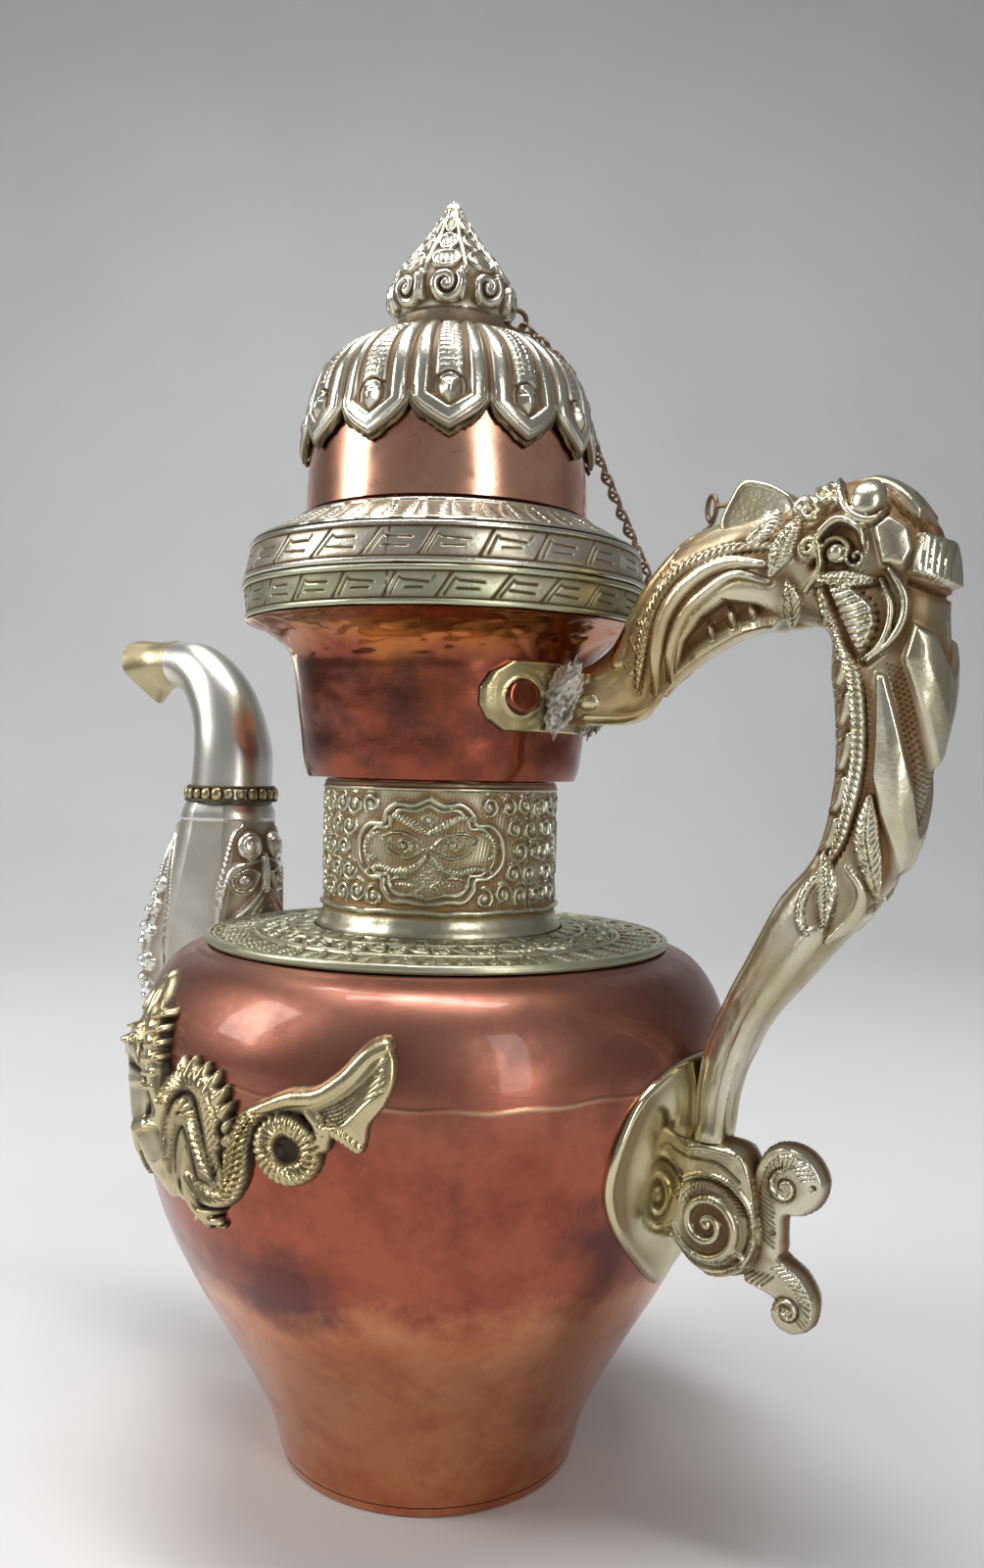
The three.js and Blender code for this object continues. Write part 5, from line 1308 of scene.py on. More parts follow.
def dragon_relief(x, z):
    r = Relief(x, z)

    def limb(points, width, height, taper=None, blunt=2.6):
        r.ridge(spline(laid(points), 60), width, height, taper, blunt=blunt)

    def field(points, height, edge=1.0, crown=0.6):
        r.raised(spline(laid(points + points[:1]), 140)[:-1], height, edge, crown)

    field([(-60.4, 126.6), (-62.6, 127.4), (-65.4, 124.6), (-69, 119), (-73, 115.6), (-78, 113.4),
           (-82, 110.4), (-80.6, 107), (-76, 109.4), (-71.6, 108.2), (-68.4, 104.6), (-65.2, 102.6),
           (-63.2, 104.2), (-62.6, 108.4), (-60.4, 112.6), (-58.9, 117.6), (-58.8, 123)], 2.3)
    limb([(-60.9, 125.6), (-63.4, 123.8), (-66.6, 118.8), (-71, 114.4), (-76, 113), (-80.6, 110.2)],
         4.6, 3.9, [0.9, 1, 1, 1, 0.8])
    limb([(-70.6, 109.4), (-67.6, 106.8), (-64.6, 103.8)], 4.2, 3.6, [0.8, 1, 0.8])
    centre = (76.4 * ARC, 101.6)
    r.ridge(spiral(*centre, 5.6, 5.4, 0.30, -1.0, 70), 6.0, 3.9, blunt=2.6)
    limb([(-72.4, 110.6), (-70.2, 107.6), (-70.4, 103.6)], 5.0, 3.7, [0.7, 1, 0.8])
    field([(-100.6, 112.6), (-96, 115.6), (-91, 113), (-88.6, 106), (-88, 99), (-86.2, 92),
           (-88, 86.6), (-93, 84.6), (-99, 82), (-105, 84), (-108, 92), (-107.6, 102),
           (-104.4, 108)], 2.0)
    limb([(-80, 110.4), (-83.2, 107), (-85, 102), (-86.2, 97), (-87.4, 92), (-89.8, 88.4),
          (-93.6, 87.2), (-97.6, 89.6)], 6.4, 4.2, [0.7, 0.9, 1, 1, 1, 1, 1, 0.8])
    limb([(-88.6, 92), (-89.9, 98), (-90.6, 105), (-92.2, 110.4), (-96, 113.2), (-100, 111.6),
          (-103.4, 106.6), (-105.4, 100)], 6.0, 4.0, [0.6, 0.9, 1, 1, 1, 1, 1, 0.8])
    limb([(-91.8, 91), (-94, 98), (-95.6, 104), (-98.4, 106.4), (-101.2, 102.6), (-103, 97),
          (-104.6, 90), (-103, 84)], 5.4, 3.5, [0.6, 1, 1, 1, 1, 1, 0.8, 0.5])
    limb([(-96.8, 100), (-97.8, 94.6), (-99, 89), (-98.4, 83.6), (-95, 80), (-92.6, 80.8)], 3.6,
         3.2, [0.7, 1, 1, 1, 0.8, 0.4])
    for toe in ((-90.8, 83.6), (-91.6, 79.2), (-95.6, 77.8), (-99.4, 78.6)):
        limb([(-96, 81.6), toe], 2.8, 3.0, [1, 0.3])
    for base, tip in (((-87.7, 95), (-86.2, 96.6)), ((-87.8, 98), (-86.2, 99.8)),
                      ((-88, 101), (-86.4, 103.2)), ((-88.2, 104), (-86.6, 106.4)),
                      ((-88.9, 107), (-87.3, 109.8)), ((-90, 110), (-88.6, 113)),
                      ((-91.8, 112.2), (-90.8, 115.8)), ((-94, 113.8), (-93.4, 117.2)),
                      ((-96.6, 114.6), (-96.6, 118)), ((-99.2, 114), (-100, 117))):
        limb([base, tip], 3.4, 3.3, [1, 0.8, 0.3], 2)
    field([(-103.6, 108), (-106, 114), (-107.6, 121), (-111, 129), (-114.6, 133), (-118.4, 133),
           (-118.6, 126), (-122, 120), (-129, 116.6), (-130, 110), (-125, 105), (-125.6, 99),
           (-124, 92), (-117, 87), (-110, 83.6), (-103.6, 82), (-103, 92), (-106.4, 101)], 2.2)
    limb([(-105, 104), (-107.4, 110), (-109.6, 116), (-111.6, 122), (-115, 128)], 6.4, 4.0,
         [0.8, 1, 1, 0.9, 0.6])
    limb([(-111.5, 113), (-118, 115.6), (-124, 113), (-128.6, 112.6)], 8.0, 4.4, [0.8, 1, 0.8, 0.5])
    limb([(-112, 108.2), (-118, 106.2), (-124.6, 106)], 4.0, 3.8, [0.8, 1, 0.5])
    limb([(-113.6, 124), (-114.8, 129.4), (-116.6, 133)], 3.6, 3.9, [1, 0.9, 0.5])
    limb([(-118, 124.6), (-117.6, 129), (-119.4, 132)], 2.8, 3.4, [1, 0.8, 0.4])
    for level in (125.6, 122.2, 118.8, 115.4, 112, 108.8):
        slide = 0.16 * (117 - level)
        limb([(-111 - slide * 0.2, level - 1.4), (-106.8 + slide * 0.3, level)], 2.5, 4.4,
             [0.9, 1, 0.9], 2.2)
    limb([(-105.6, 101), (-111, 98.4), (-116, 96), (-121, 93), (-122.8, 87.6)], 6.0, 3.9,
         [0.9, 1, 1, 0.9, 0.6])
    limb([(-104, 92), (-109, 88.6), (-114, 89.6)], 4.6, 3.5, [0.9, 1, 0.5])
    for toe in ((-126.4, 87.6), (-124.8, 83), (-120, 82.2)):
        limb([(-122.6, 88.4), toe], 2.8, 3.0, [1, 0.3])
    for toe in ((-118.6, 90.6), (-118.2, 86), (-113.6, 83.6)):
        limb([(-113.6, 89.4), toe], 2.4, 2.8, [1, 0.3])

    body = r.h > 0.4
    for k in range(26):
        a = 2 * math.pi * (0.30 - k / 26)
        r.groove([(centre[0] + 2.9 * math.cos(a), centre[1] + 2.9 * math.sin(a)),
                  (centre[0] + 8.4 * math.cos(a - 0.2), centre[1] + 8.4 * math.sin(a - 0.2))], 0.85,
                 1.0)
    hatched(r, laid([(-81.6, 109), (-84.4, 104), (-85.6, 98), (-87, 92), (-90, 88.2), (-96, 88)]),
            4.8, 1.6, 1.1, 1.1, 0.85)
    hatched(r,
            laid([(-89.8, 94), (-90.6, 103), (-92.4, 110), (-96.4, 112.8), (-100, 111),
                  (-103.6, 106)]), 4.2, 1.5, 0.8, 1.0, 0.8)
    hatched(r,
            laid([(-92.4, 92), (-94.6, 99), (-96, 104.6), (-98.8, 106), (-102, 101), (-104.4, 92)]),
            4.4, 1.5, -1.0, 1.0, 0.8)
    for line in ([(-88.4, 92), (-88.9, 99), (-89.2, 105), (-91, 110.6)],
                 [(-92.4, 96), (-93.4, 103), (-95.6, 109.6), (-99, 109), (-102.4, 103.4)],
                 [(-82.4, 108), (-85, 102), (-86.4, 95), (-88.6, 89.6)],
                 [(-95.2, 90), (-96.4, 96), (-98.4, 101.6), (-100.6, 97), (-101.6, 90)],
                 [(-108.6, 104), (-111.6, 111), (-113.6, 118), (-115.6, 123)]):
        r.groove(spline(laid(line), 40), 1.1, 1.5, [0.5, 1, 1, 1, 0.5])
    for k in range(6):
        shift = 1.15 * (k + 1)
        r.groove(spline(laid([(-60.3 - 0.1 * k, 124.6 - 1.6 * k), (-62.4 - 0.2 * k, 121.0 - shift),
                              (-66.4 - 0.2 * k, 115.6 - shift), (-70.8, 111.6 - 0.5 * shift)]), 30),
                 0.75, 0.9, [0.3, 1, 1, 0.4])
    hatched(r, laid([(-70.4, 109), (-67.6, 106.6), (-65, 104)]), 3.6, 1.2, 0.5, 0.6, 0.6)
    for angle, level, wide, tall, turn in ((-88.9, 103.6, 0.9, 2.4, 0), (-88.9, 97.4, 0.9, 2.2, 0),
                                           (-110, 101.4, 1.4, 3.2, 0.5),
                                           (-95.6, 84.6, 1.0, 1.8, 0.4),
                                           (-100.6, 86.6, 1.0, 2.6, 0)):
        q = r.oval(-angle * ARC, level, wide, tall, turn)
        r.h = np.where(q < 1, np.minimum(r.h, 0.5 + 2.4 * q), r.h)
    r.groove(spline(laid([(-113, 110.8), (-119, 110), (-126, 109.4)]), 20), 1.3, 1.8)
    for k in range(6):
        r.groove(laid([(-115 - 1.8 * k, 109.4), (-115.6 - 1.8 * k, 112.4)]), 0.6, 0.8)
    r.groove(spiral(117.4 * ARC, 118, 1.9, 1.9, 0, 1.0, 24), 0.9, 1.2)
    r.dome(117.4 * ARC, 118, 1.3, 1.3, 4.9)
    r.ridge(spline(laid([(-112.6, 118), (-116, 121), (-121, 119.4)]), 20), 1.6, 5.0)
    r.dome(126.4 * ARC, 114.4, 1.9, 1.7, 4.9)
    hatched(r, laid([(-107, 100.4), (-113, 97.4), (-119.6, 94)]), 4.4, 1.4, 0.9, 0.7, 0.7)
    hole = np.hypot(x - centre[0], z - centre[1]) < 2.5
    r.h = np.where(hole, 0.31, np.maximum(r.h, 0.3))
    return np.where(body | hole, r.h, 0)


def make_dragon(side):
    name = "near" if side < 0 else "far"
    step, edge = 0.34, 0.12
    places = np.arange(58.5 * ARC, 131.5 * ARC, step), np.arange(76.0, 134.0, step)
    x, level = np.meshgrid(*places, indexing="ij")
    h = dragon_relief(x, level)
    h = np.where(h > 0, h + 0.05 * dents(*h.shape, 3, 3), 0)
    h = np.where(h > 0, 0.6 * h + 0.4 * blurred(h, 0.8, 0.8), 0)
    solid = h > edge
    radius = np.minimum(belly_radius(level) + np.where(solid, 0.15 + h, -0.8), 84.1)
    points = polar(radius, side * x / DRAGON_RADIUS, level).reshape(-1, 3)
    quads, used = kept_quads(solid, side < 0)
    back = points[used].copy()
    back[:, :2] *= ((belly_radius(back[:, 2]) - 1.1) / np.hypot(back[:, 0], back[:, 1]))[:, None]
    # The low edges against the belly and the flat in the coil's middle are set fully dark: painted
    # shade.
    g = np.where(h > 0.5, cavity(h, 1.6, 7), 1.0).ravel()[used]
    mesh_piece("dragon_relief_" + name, np.concatenate([points[used], back]),
               two_sided(quads, len(used)), "ewer", dark_brass, ("dragon_" + name,),
               np.concatenate([g, g]), 50)


# Spout

def spout_ring(cols):
    """Unit section of the root: round towards the neck and outside, with a flat on each side.

    Also gives how far each place is turned from the side towards the neck.
    """
    a = circle(cols)
    from_inside = np.abs(np.mod(a, 2 * math.pi) - math.pi)
    low, high = math.radians(50), math.radians(92)
    chord = math.cos((high - low) / 2) / np.cos(from_inside - (low + high) / 2)
    radius = np.where((from_inside > low) & (from_inside < high), chord, 1.0)
    return np.stack([radius * np.cos(a), radius * np.sin(a)], 1), from_inside


SPOUT_ROOT = [(-83.8, 81.9, -54, 92.8, 12.4), (-90.2, 84.8, -58, 100, 14.6),
              (-104, 92.8, -60.8, 108, 16.9), (-113.2, 113.1, -61.7, 118.2, 17.8),
              (-113.9, 130.5, -64, 128.3, 17.8), (-107.7, 145, -65.9, 139.9, 16.9),
              (-101.7, 158, -67, 155.9, 15.5), (-96.6, 170.2, -69, 170.2, 13.9)]
SPOUT_PIPE = [(-94.4, 177.5, -69.3, 177.5, 12.4), (-93.6, 191.7, -69.7, 190.8, 11.8),
              (-95.4, 199.2, -77.8, 209.9, 10.2), (-100.3, 206.6, -92.8, 221.7, 8.5),
              (-107, 209.2, -107, 223.8, 7.3), (-112.2, 208.3, -115.1, 223.5, 7.7),
              (-116.0, 204.6, -124.0, 224.0, 11.0)]


def inner_panel(w, z):
    """Chased panel facing the neck; w runs across it from its middle."""
    x = np.abs(w)
    r = Relief(x, z)
    r.ridge(spline([(7.6, 166.4), (10.6, 163.6), (12.6, 157), (14.0, 149.5), (15.6, 141),
                    (16.6, 132), (16.0, 120), (13, 104)], 60), 1.1, 0.8)
    r.dome(5.6, 160.0, 4.3, 4.4, 2.6)
    r.groove(spiral(5.6, 160.0, 1.2, 3.4, 0.1, 1.3, 40), 0.8, 0.7)
    r.ridge(spline([(0.3, 157.6), (0.6, 152), (0.3, 146)], 20), 2.0, 1.6, [0.5, 1, 0.5])
    r.ridge(spline([(0.6, 156.4), (5.0, 155.0), (10.6, 153.4), (13.0, 147), (13.8, 138),
                    (13.2, 128)], 60), 1.7, 1.5, [0.5, 1, 1, 1, 0.8, 0.3])
    r.ridge(spline([(2.6, 151.8), (6.6, 153.0), (10.8, 150.2), (9.6, 146.8), (5.4, 147.0),
                    (2.6, 151.8)], 60), 1.0, 1.3)
    r.dome(7.4, 149.8, 1.9, 1.7, 1.9)
    r.pit(7.4, 149.8, 0.7, 0.9)
    for k, (a, b) in enumerate(((10.6, 127), (8.2, 124), (5.6, 121))):
        r.ridge(spline([(1.0 + 0.4 * k, 147.6 - 3.0 * k), (4.6, 143.4 - 3 * k),
                        (a - 0.6, 137 - 3 * k), (a, b)], 40), 1.7, 1.5, [0.4, 1, 1, 0.3])
    for k in range(4):
        r.ridge(spline([(4.6, 131.6 - 4 * k), (2.6, 136.4 - 4 * k), (0, 138.2 - 4 * k)], 24), 1.2,
                1.3, [0.4, 1, 1])
    for k in range(4):
        r.ridge(spiral(7.4 - 0.4 * k, 116 - 7 * k, 0.4, 2.7, 0.3 * k, 1.4 if k % 2 else -1.4, 40),
                1.2, 1.4)
        r.dome(0, 117 - 7 * k, 1.4, 2.6, 1.4)
    return r.h


def outer_panel(w, z):
    """Chased panel facing away from the neck; w runs across it from its middle."""
    x = np.abs(w)
    r = Relief(x, z)
    r.ridge(spline([(8, 167), (15, 161), (20, 150), (23.2, 138), (24.4, 124), (22, 104), (19, 94)],
                   70), 1.0, 0.8)
    r.ridge(spline([(4, 166), (11.6, 158), (15.6, 147), (18.6, 135), (18.6, 126)], 60), 1.6, 1.3,
            [0.4, 1, 1, 1, 0.4])
    for k in range(7):
        centre = (17.4 + 0.5 * (k % 2) - 0.25 * abs(k - 3), 146 - 7.4 * k)
        r.ridge(spiral(*centre, 0.4, 2.9, 0.2 * k, 1.4 if k % 2 else -1.4, 40), 1.3, 1.5)
        r.dome(*centre, 1.0, 1.0, 1.5)
    for k in range(12):
        r.dome(10.6 + 0.5 * math.sin(2.1 * k), 150 - 4.6 * k, 1.9, 1.8, 1.8)
        r.ridge(spline([(2.0, 152 - 4.6 * k), (5.4, 150.4 - 4.6 * k), (7.4, 147 - 4.6 * k)], 20),
                1.4, 1.3, [0.4, 1, 0.4])
    r.ridge([(0, 164), (0, 96)], 2.4, 1.2, [0.3, 1, 1, 0.3])
    return r.h


def swelled(grid, share, middle=None):
    """Each ring of a grid made larger or smaller about its middle."""
    middle = grid.mean(1, keepdims=True) if middle is None else middle
    return middle + (grid - middle) * share


def make_spout_root():
    ring, from_inside = spout_ring(300)
    grid = ring_loft(SPOUT_ROOT, 320, ring)
    way = outward(grid)
    z = grid[..., 2]
    across = 16.6
    inside = inner_panel(from_inside * across + 0 * z, z)
    level = z.mean(1, keepdims=True) + 0 * z
    outside = outer_panel((math.pi - from_inside) * across + 0 * z, level)
    h = np.where(from_inside < math.radians(52), inside,
                 np.where(from_inside > math.radians(91), outside, 0))
    h = h * smooth((167.5 - z) / 2) + smooth((z - 167.4) / 0.8) * 0.4 + 0.06 * dents(*h.shape, 8, 8)
    moved = grid + grid_normals(grid, way) * h[..., None]
    top = swelled(moved[-1:], 0.92)
    top[..., 2] = 172.9
    moved = np.concatenate([moved, top])
    h = np.concatenate([h, h[-1:]])
    Gather().tube(moved, cavity(h, 1.5, 7), way < 0).piece(
        "spout_body", "ewer", smooth_silver, ("spout_root",), 35)


def make_spout_pipe():
    rows, cols, farthest = 260, 96, -124.5
    a = circle(cols)
    grid = ring_loft(SPOUT_PIPE, rows, np.stack([np.cos(a), np.sin(a)], 1))
    tip = smooth((np.linspace(0, 1, rows) - 0.82) / 0.18)[:, None]
    low = smooth((np.cos(a)[None, :] + 0.1) / 1.1)
    grid[..., 1] *= 1 - 0.55 * tip * low
    grid = swelled(grid, (1 + 0.04 * np.sin(0.5 * math.pi * tip))[..., None])
    grid[..., 0] = np.maximum(grid[..., 0], farthest + 0.05)
    way = outward(grid)
    split = int(rows * 0.8)
    unevenness = 0.10 * dents(split, cols, 12, 8)
    pipe = grid[:split] + grid_normals(grid, way)[:split] * unevenness[..., None]
    foot = grid[:1] - (0, 0, 4.4)
    Gather().tube(np.concatenate([foot, pipe]), np.full((split + 1, cols), 0.4), way < 0).piece(
        "spout_neck", "ewer", smooth_silver, ("spout_tube",))

    mouth = grid[split - 3:]
    end, before = mouth[-1:], mouth[-2:-1]
    lip = [swelled(end + (end - before) * 0.4, share, end.mean(1, keepdims=True))
           for share in (0.99, 0.9)]
    body = np.concatenate([swelled(mouth, 1.02), *lip, swelled(mouth, 0.80)[::-1]])
    body[..., 0] = np.maximum(body[..., 0], farthest)
    # The inside wall of the mouth is set much darker, as painted shade in the bore; the lip is set
    # lighter.
    g = np.repeat([0.45, 0.3, 0.85], [len(mouth), len(lip), len(mouth)])[:, None]
    Gather().tube(body, np.repeat(g, cols, 1), way < 0).piece(
        "spout_mouth", "ewer", mouth_brass)


def make_spout_beads():
    axis_x, count, wire = -81.9, 23, 0.5
    beads = Gather()
    t = np.linspace(-math.pi / 2, math.pi / 2, 14)[1:-1, None]
    p = circle(20)

    def squared(v):
        return np.sign(v) * np.abs(v) ** 0.8

    bead = np.stack([squared(np.cos(t)) * squared(np.cos(p)),
                     squared(np.cos(t)) * squared(np.sin(p)),
                     np.repeat(squared(np.sin(t)), len(p), 1)], -1)
    for k in range(count):
        a = 2 * math.pi * k / count
        c, s = math.cos(a), math.sin(a)
        swell = 1 + 0.12 * math.sin(4.7 * k)
        ball = swell * bead * (1.3, 1.62, 1.85)
        x, y = ball[..., 0] * c - ball[..., 1] * s, ball[..., 0] * s + ball[..., 1] * c
        spot = np.stack([x, y, ball[..., 2]], -1) + (axis_x + 13.1 * c, 13.0 * s, 175.6)
        # Each bead is darker on its side towards the pipe: painted shade between the beads and the
        # pipe.
        g = np.clip(0.75 - 0.35 * (x * c + y * s) / 1.3, 0, 1)
        beads.tube(spot, g, outward(spot) < 0)
    for level, radius in ((173.7, 13.7), (177.7, 13.0)):
        q = circle(12)[None, :]
        ring = polar(radius + wire * np.cos(q), circle(160)[:, None],
                     level + np.repeat(wire * np.sin(q), 160, 0)) + (axis_x, 0, 0)
        beads.torus(ring, np.full(ring[..., 0].size, 0.7))
    beads.piece("spout_beads", "ewer", dark_brass, ("spout_bead_ring",))


# Strap, rivets and leaf plate

def cup_radius(z):
    """Radius of the copper cup under the rim at a height."""
    return np.interp(z, [182.3, 186, 194.6, 200.3, 209.4, 215],
                     [36.6, 37.6, 38.5, 39.5, 40.8, 41.4])


def wrapped_plate(name, outline, middle, radius_at, turn, thick, bevel, rule, material, replaced,
                  rings=60):
    """A bevelled plate bent round a wall; outline, as arc length and height, lies on turn."""
    outline = resample(np.vstack([outline, outline[:1]]), 361)[:-1]
    middle = np.asarray(middle, float)
    part = bevel / np.linalg.norm(outline - middle, axis=1).mean()
    shares = np.r_[np.linspace(0.01, 1 - part, rings), 1 - 0.5 * part, 1 - 0.15 * part, 1.0, 1.0]
    drop = np.r_[np.zeros(rings), 0.12 * thick, 0.4 * thick, 0.75 * thick, thick + 0.3]

    def at(share):
        return middle + (outline - middle) * share

    def bent(flat, radius):
        return polar(radius, flat[..., 0] / turn, flat[..., 1])

    flat = at(shares[:, None, None])
    h = rule(flat[..., 0], flat[..., 1]) * smooth((0.97 - shares) / 0.05)[:, None]
    top = bent(flat, radius_at(flat[..., 1]) + 0.3 + thick - drop[:, None] + h)
    under = [bent(place, radius_at(place[:, 1]) - 0.4)[None]
             for place in (at(1.0), at(0.5), at(0.02))]
    grid = np.concatenate([top, *under])
    g = np.concatenate([cavity(h, 1.5, 6), np.full((len(under), len(outline)), 0.7)])
    flip = (grid_normals(grid)[:rings] * (grid[:rings] * (1, 1, 0))).sum() < 0
    Gather().tube(grid, g, flip).piece(name, "ewer", material, replaced, 50)


def make_strap():
    end, middle = 29.3, (0, 203.6)
    corner = [(21.6, 212.4), (26.8, 209.4), (end, 205.4), (end, 201.2), (27.0, 197.6),
              (22.6, 194.8)]
    mirrored = [(-a, b) for a, b in corner[::-1]]
    outline = resample([(0, 212.4), *corner, (0, 194.8), *mirrored, (0, 212.4)], 400)[:-1]

    def rule(s, z):
        r = Relief(np.abs(s), z)
        r.ridge(spiral(18.0, middle[1], 4.9, 4.9, 0, 1, 40), 0.8, 0.25)
        return r.h + 0.04 * dents(*s.shape, 5, 5)

    wrapped_plate("strap_band", outline, middle, cup_radius, 41.4, 1.4, 1.0, rule, brass,
                  ("handle_strap",))


def make_leaf_plate():
    half = [(0.9, 59.8), (8.2, 63.8), (16.6, 69.8), (24.0, 76.6), (29.4, 84), (31.6, 90.6),
            (31.0, 97.3), (28.8, 103.8), (25.2, 109.6), (18.6, 114.4), (9, 117.6)]
    outline = resample(spline([*half, *[(-a, b) for a, b in half[::-1]]], 600), 400)

    def rule(s, z):
        return 0.1 * dents(*s.shape, 14, 14) - 0.012 * np.abs(s)

    wrapped_plate("leaf_plate", outline, (0, 92), belly_radius, 77.5, 1.3, 1.1, rule,
                  polished_brass, ("belly_leaf_plate",))


def make_rivet(side):
    """A rivet head on the strap and the lump of solder beside it."""
    name = "near" if side < 0 else "far"
    height = 203.6
    a = math.radians(25 * side)
    out, across = np.array([math.cos(a), math.sin(a), 0]), np.array([-math.sin(a), math.cos(a), 0])
    t = circle(48)[:, None]
    wheel = across * 1.12 * np.cos(t) + np.array([0, 0, 1]) * np.sin(t)
    base = cup_radius(height) + 1.2
    profile = [(0.05, 1.35), (1.6, 1.33), (3.0, 1.28), (3.8, 1.15), (4.25, 0.8), (4.4, 0.3),
               (4.3, -0.2), (0.4, -0.2)]
    grid = np.stack([out * (base + w + 0.45) + wheel * r + (0, 0, height) for r, w in profile])
    flip = (grid_normals(grid)[:5] * out).sum() < 0
    Gather().tube(grid, np.full(grid.shape[:2], 0.4), flip).piece(
        "rivet_" + name, "ewer", copper, ("strap_rivet_" + name,))

    rows, cols = 90, 90
    t = np.linspace(0.02, math.pi - 0.02, rows)[:, None]
    p = circle(cols)[None, :]
    lump = np.stack([np.sin(t) * np.cos(p) * 4.6, np.sin(t) * np.sin(p) * 3.3,
                     np.repeat(np.cos(t), cols, 1) * 8.2], -1)
    swell = 1 + 0.14 * dents(rows, cols, 5, 5) + 0.13 * dents(rows, cols, 1.2, 1.2)
    lump = lump * swell[..., None]
    lump[..., 0] += 0.3 * lump[..., 2]
    lump += (43.6, side * 8.7, 203.4)
    Gather().tube(lump, np.clip(0.5 - 2.4 * (swell - 1), 0, 1), outward(lump) < 0).piece(
        "solder_" + name, "ewer", solder)


# Rings and the fine chain

def wire_ring(made, centre, axis_u, axis_v, radius_u, radius_v, wire, rows=36, cols=12, lean=0.0):
    """An oval ring of round wire; lean twists it out of its plane."""
    t, q = circle(rows)[:, None], circle(cols)
    axis_w = np.cross(axis_u, axis_v)
    path = (axis_u * (radius_u * np.cos(t)) + axis_v * (radius_v * np.sin(t))
            + axis_w * (lean * np.sin(2 * t)))
    out = axis_u * np.cos(t) / radius_u + axis_v * np.sin(t) / radius_v
    out /= np.linalg.norm(out, axis=1)[:, None]
    tube = path[:, None] + wire * (out[:, None] * np.cos(q)[:, None] + axis_w * np.sin(q)[:, None])
    made.torus(tube + centre, np.tile(0.45 + 0.3 * np.sin(q), rows), True)


def shank(made, start, end, wire):
    """A straight piece of round wire."""
    line = np.linspace(0, 1, 12)[:, None] * (end - start) + start
    ahead = (end - start) / np.linalg.norm(end - start)
    side = np.cross(ahead, (0, 0, 1.0))
    side /= np.linalg.norm(side)
    up = np.cross(side, ahead)
    q = circle(16)[:, None]
    grid = line[:, None, :] + wire * (side * np.cos(q) + up * np.sin(q))[None]
    made.tube(grid, None, outward(grid) < 0)


def centre_of(node):
    """Middle of a node of the solids, in millimetres."""
    low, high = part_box(node)
    return (np.array(low, float) + np.array(high, float)) / 2 / MM


def make_chain():
    centres = [centre_of("chain_link_%02d" % k) for k in range(1, 29)]
    up = np.array([0, 0, 1.0])
    out = np.array([math.cos(math.radians(45)), math.sin(math.radians(45)), 0])
    loop_centre = out * 18.15 + up * 309.35
    made = Gather()
    wire_ring(made, loop_centre, out, up, 2.7, 2.7, 0.7, 48, 16)
    shank(made, loop_centre - out * 2.4, loop_centre - out * 4.6, 0.6)
    made.piece("finial_eye", "lid", iron, ("finial_loop",))
    ring_centre = np.array([75.0, 8.9, 250.9])
    way = np.array([0.7177, -0.696, 0])
    made = Gather()
    wire_ring(made, ring_centre, way, up, 3.1, 3.1, 0.62, 48, 16)
    shank(made, ring_centre + way * 2.9, np.array([89.8, 1.8, 249.9]), 0.6)
    made.piece("snout_eye", "ewer", iron, ("snout_ring",))

    def hung(centre, link, wire):
        return centre + (link - centre) / np.linalg.norm(link - centre) * wire

    start, end = hung(loop_centre, centres[0], 2.4), hung(ring_centre, centres[-1], 2.9)
    joint = (centres[13] + centres[14]) / 2
    link_step, lean = 2.7, 0.35
    for name, body, points, nodes in (
            ("fine_chain_lid", "lid", [start, *centres[:14], joint], range(1, 15)),
            ("fine_chain_swag", "chain", [joint, *centres[14:], end], range(15, 29))):
        route = spline(points, 400)
        count = int(round(length_of(route) / link_step))
        stations = resample(route, 2 * count + 1)[1::2]
        made = Gather()
        flat = np.array([-out[1], out[0], 0.3])
        for k, (spot, t) in enumerate(zip(stations, tangents(resample(route, count)))):
            flat = flat - (flat @ t) * t
            flat /= np.linalg.norm(flat)
            odd = 1 if k % 2 else -1
            turn = math.radians(32 * odd) + 0.12 * math.sin(1.7 * k)
            side = flat * math.cos(turn) + np.cross(t, flat) * math.sin(turn)
            tilt = t * math.cos(lean) + np.cross(side, t) * math.sin(lean) * odd
            wire_ring(made, spot, tilt, side, 2.15, 1.45, 0.46, 22, 8, 0.4)
        made.piece(name, body, iron, tuple("chain_link_%02d" % n for n in nodes))


# All pieces, in the order in which they draw random numbers

for make in (make_belly, make_foot, make_cup, make_dome, make_bands, make_flange,
             make_sleeve, make_shoulder, make_petals, make_finial, make_handle,
             make_snout, make_socket):
    make()
for facing in (-1, 1):
    make_dragon(facing)
for make in (make_spout_root, make_spout_pipe, make_spout_beads, make_strap,
             make_leaf_plate):
    make()
for facing in (-1, 1):
    make_rivet(facing)
make_chain()


# Floor, backdrop, world and lamps

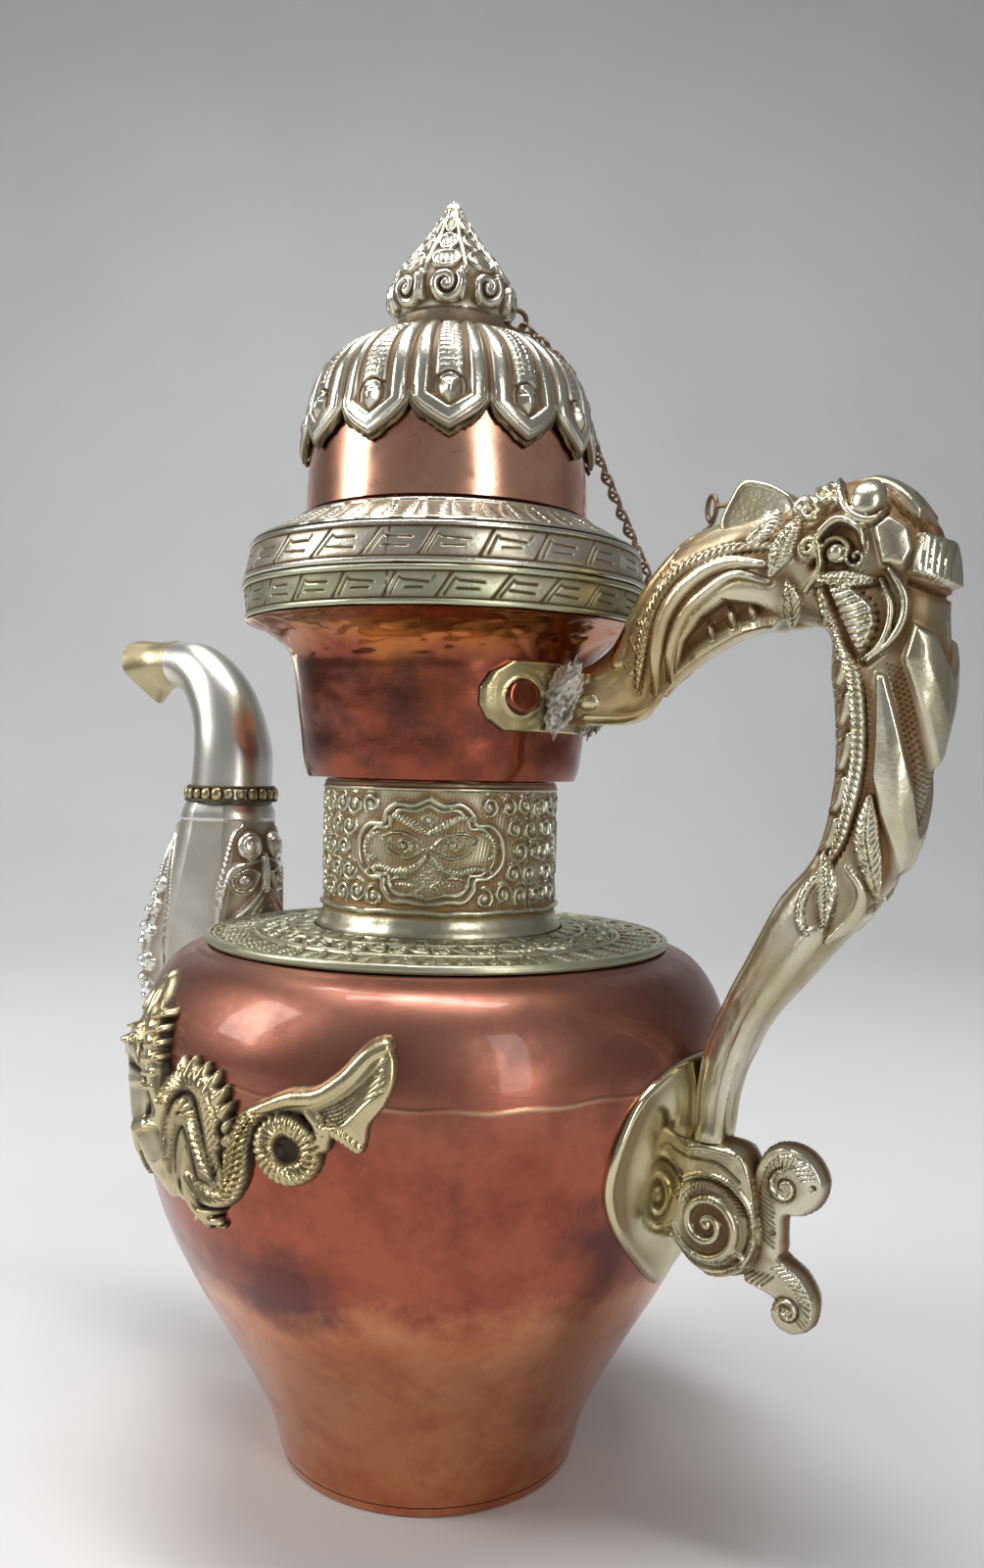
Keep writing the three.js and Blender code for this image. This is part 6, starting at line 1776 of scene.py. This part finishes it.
def set_floor():
    """A floor that curves up into a backdrop behind the object."""
    wide, near, back, bend, tall, steps = 6.0, 0.6, 1.7, 0.8, 3.5, 12
    line = [(-wide, 0.0), (near, 0.0)]
    for k in range(steps + 1):
        a = math.pi / 2 * k / steps
        line.append((back - bend + bend * math.sin(a), bend - bend * math.cos(a)))
    line.append((back, tall))
    right = np.array([math.cos(VIEW_AZIMUTH), math.sin(VIEW_AZIMUTH), 0])
    away = np.array([-math.sin(VIEW_AZIMUTH), math.cos(VIEW_AZIMUTH), 0])
    points = [tuple(map(float, right * s * wide + away * d + np.array([0, 0, z])))
              for d, z in line for s in (-1, 1)]
    faces = [(2 * i, 2 * i + 1, 2 * i + 3, 2 * i + 2) for i in range(len(line) - 1)]
    floor = bpy.data.meshes.new("floor")
    floor.from_pydata(points, [], faces)
    floor.polygons.foreach_set("use_smooth", [True] * len(floor.polygons))
    material, tree, shader = nodes_of("pale_floor")
    cloud = ranged(tree, noise(tree, coordinates(tree), 3, 3), 0.3, 0.7)
    tint = mixed(tree, cloud, (0.58, 0.58, 0.58), (0.62, 0.62, 0.615))
    tree.links.new(tint, shader.inputs["Base Color"])
    shader.inputs["Roughness"].default_value = 0.85
    floor.materials.append(material)
    stage = bpy.data.objects.new("floor", floor)
    bpy.context.scene.collection.objects.link(stage)


def set_world():
    world = bpy.data.worlds.new("studio")
    bpy.context.scene.world = world
    world.use_nodes = True
    background = world.node_tree.nodes["Background"]
    background.inputs["Color"].default_value = (0.62, 0.64, 0.67, 1)
    background.inputs["Strength"].default_value = 0.34


def lamp(name, place, target, width, height, power):
    """A rectangular lamp that points at a target, in metres and watts."""
    data = bpy.data.lights.new(name, "AREA")
    data.shape = "RECTANGLE"
    data.size, data.size_y = width, height
    data.energy = power
    light = bpy.data.objects.new(name, data)
    bpy.context.scene.collection.objects.link(light)
    light.location = place
    light.rotation_euler = (Vector(target) - Vector(place)).to_track_quat("-Z", "Y").to_euler()


set_floor()
set_world()
lamp("key_lamp", (-0.95, -1.0, 0.95), (0, 0, 0.18), 0.5, 0.95, 15)
lamp("top_lamp", (0.05, -0.15, 1.6), (0, 0, 0.15), 1.1, 0.22, 13)
lamp("high_lamp", (-0.35, 0.1, 1.6), (0, 0, 0.15), 0.22, 1.0, 9)
lamp("side_lamp", (1.3, -0.6, 0.6), (0, 0, 0.2), 0.3, 1.2, 7)

bpy.context.scene.view_settings.view_transform = "Standard"
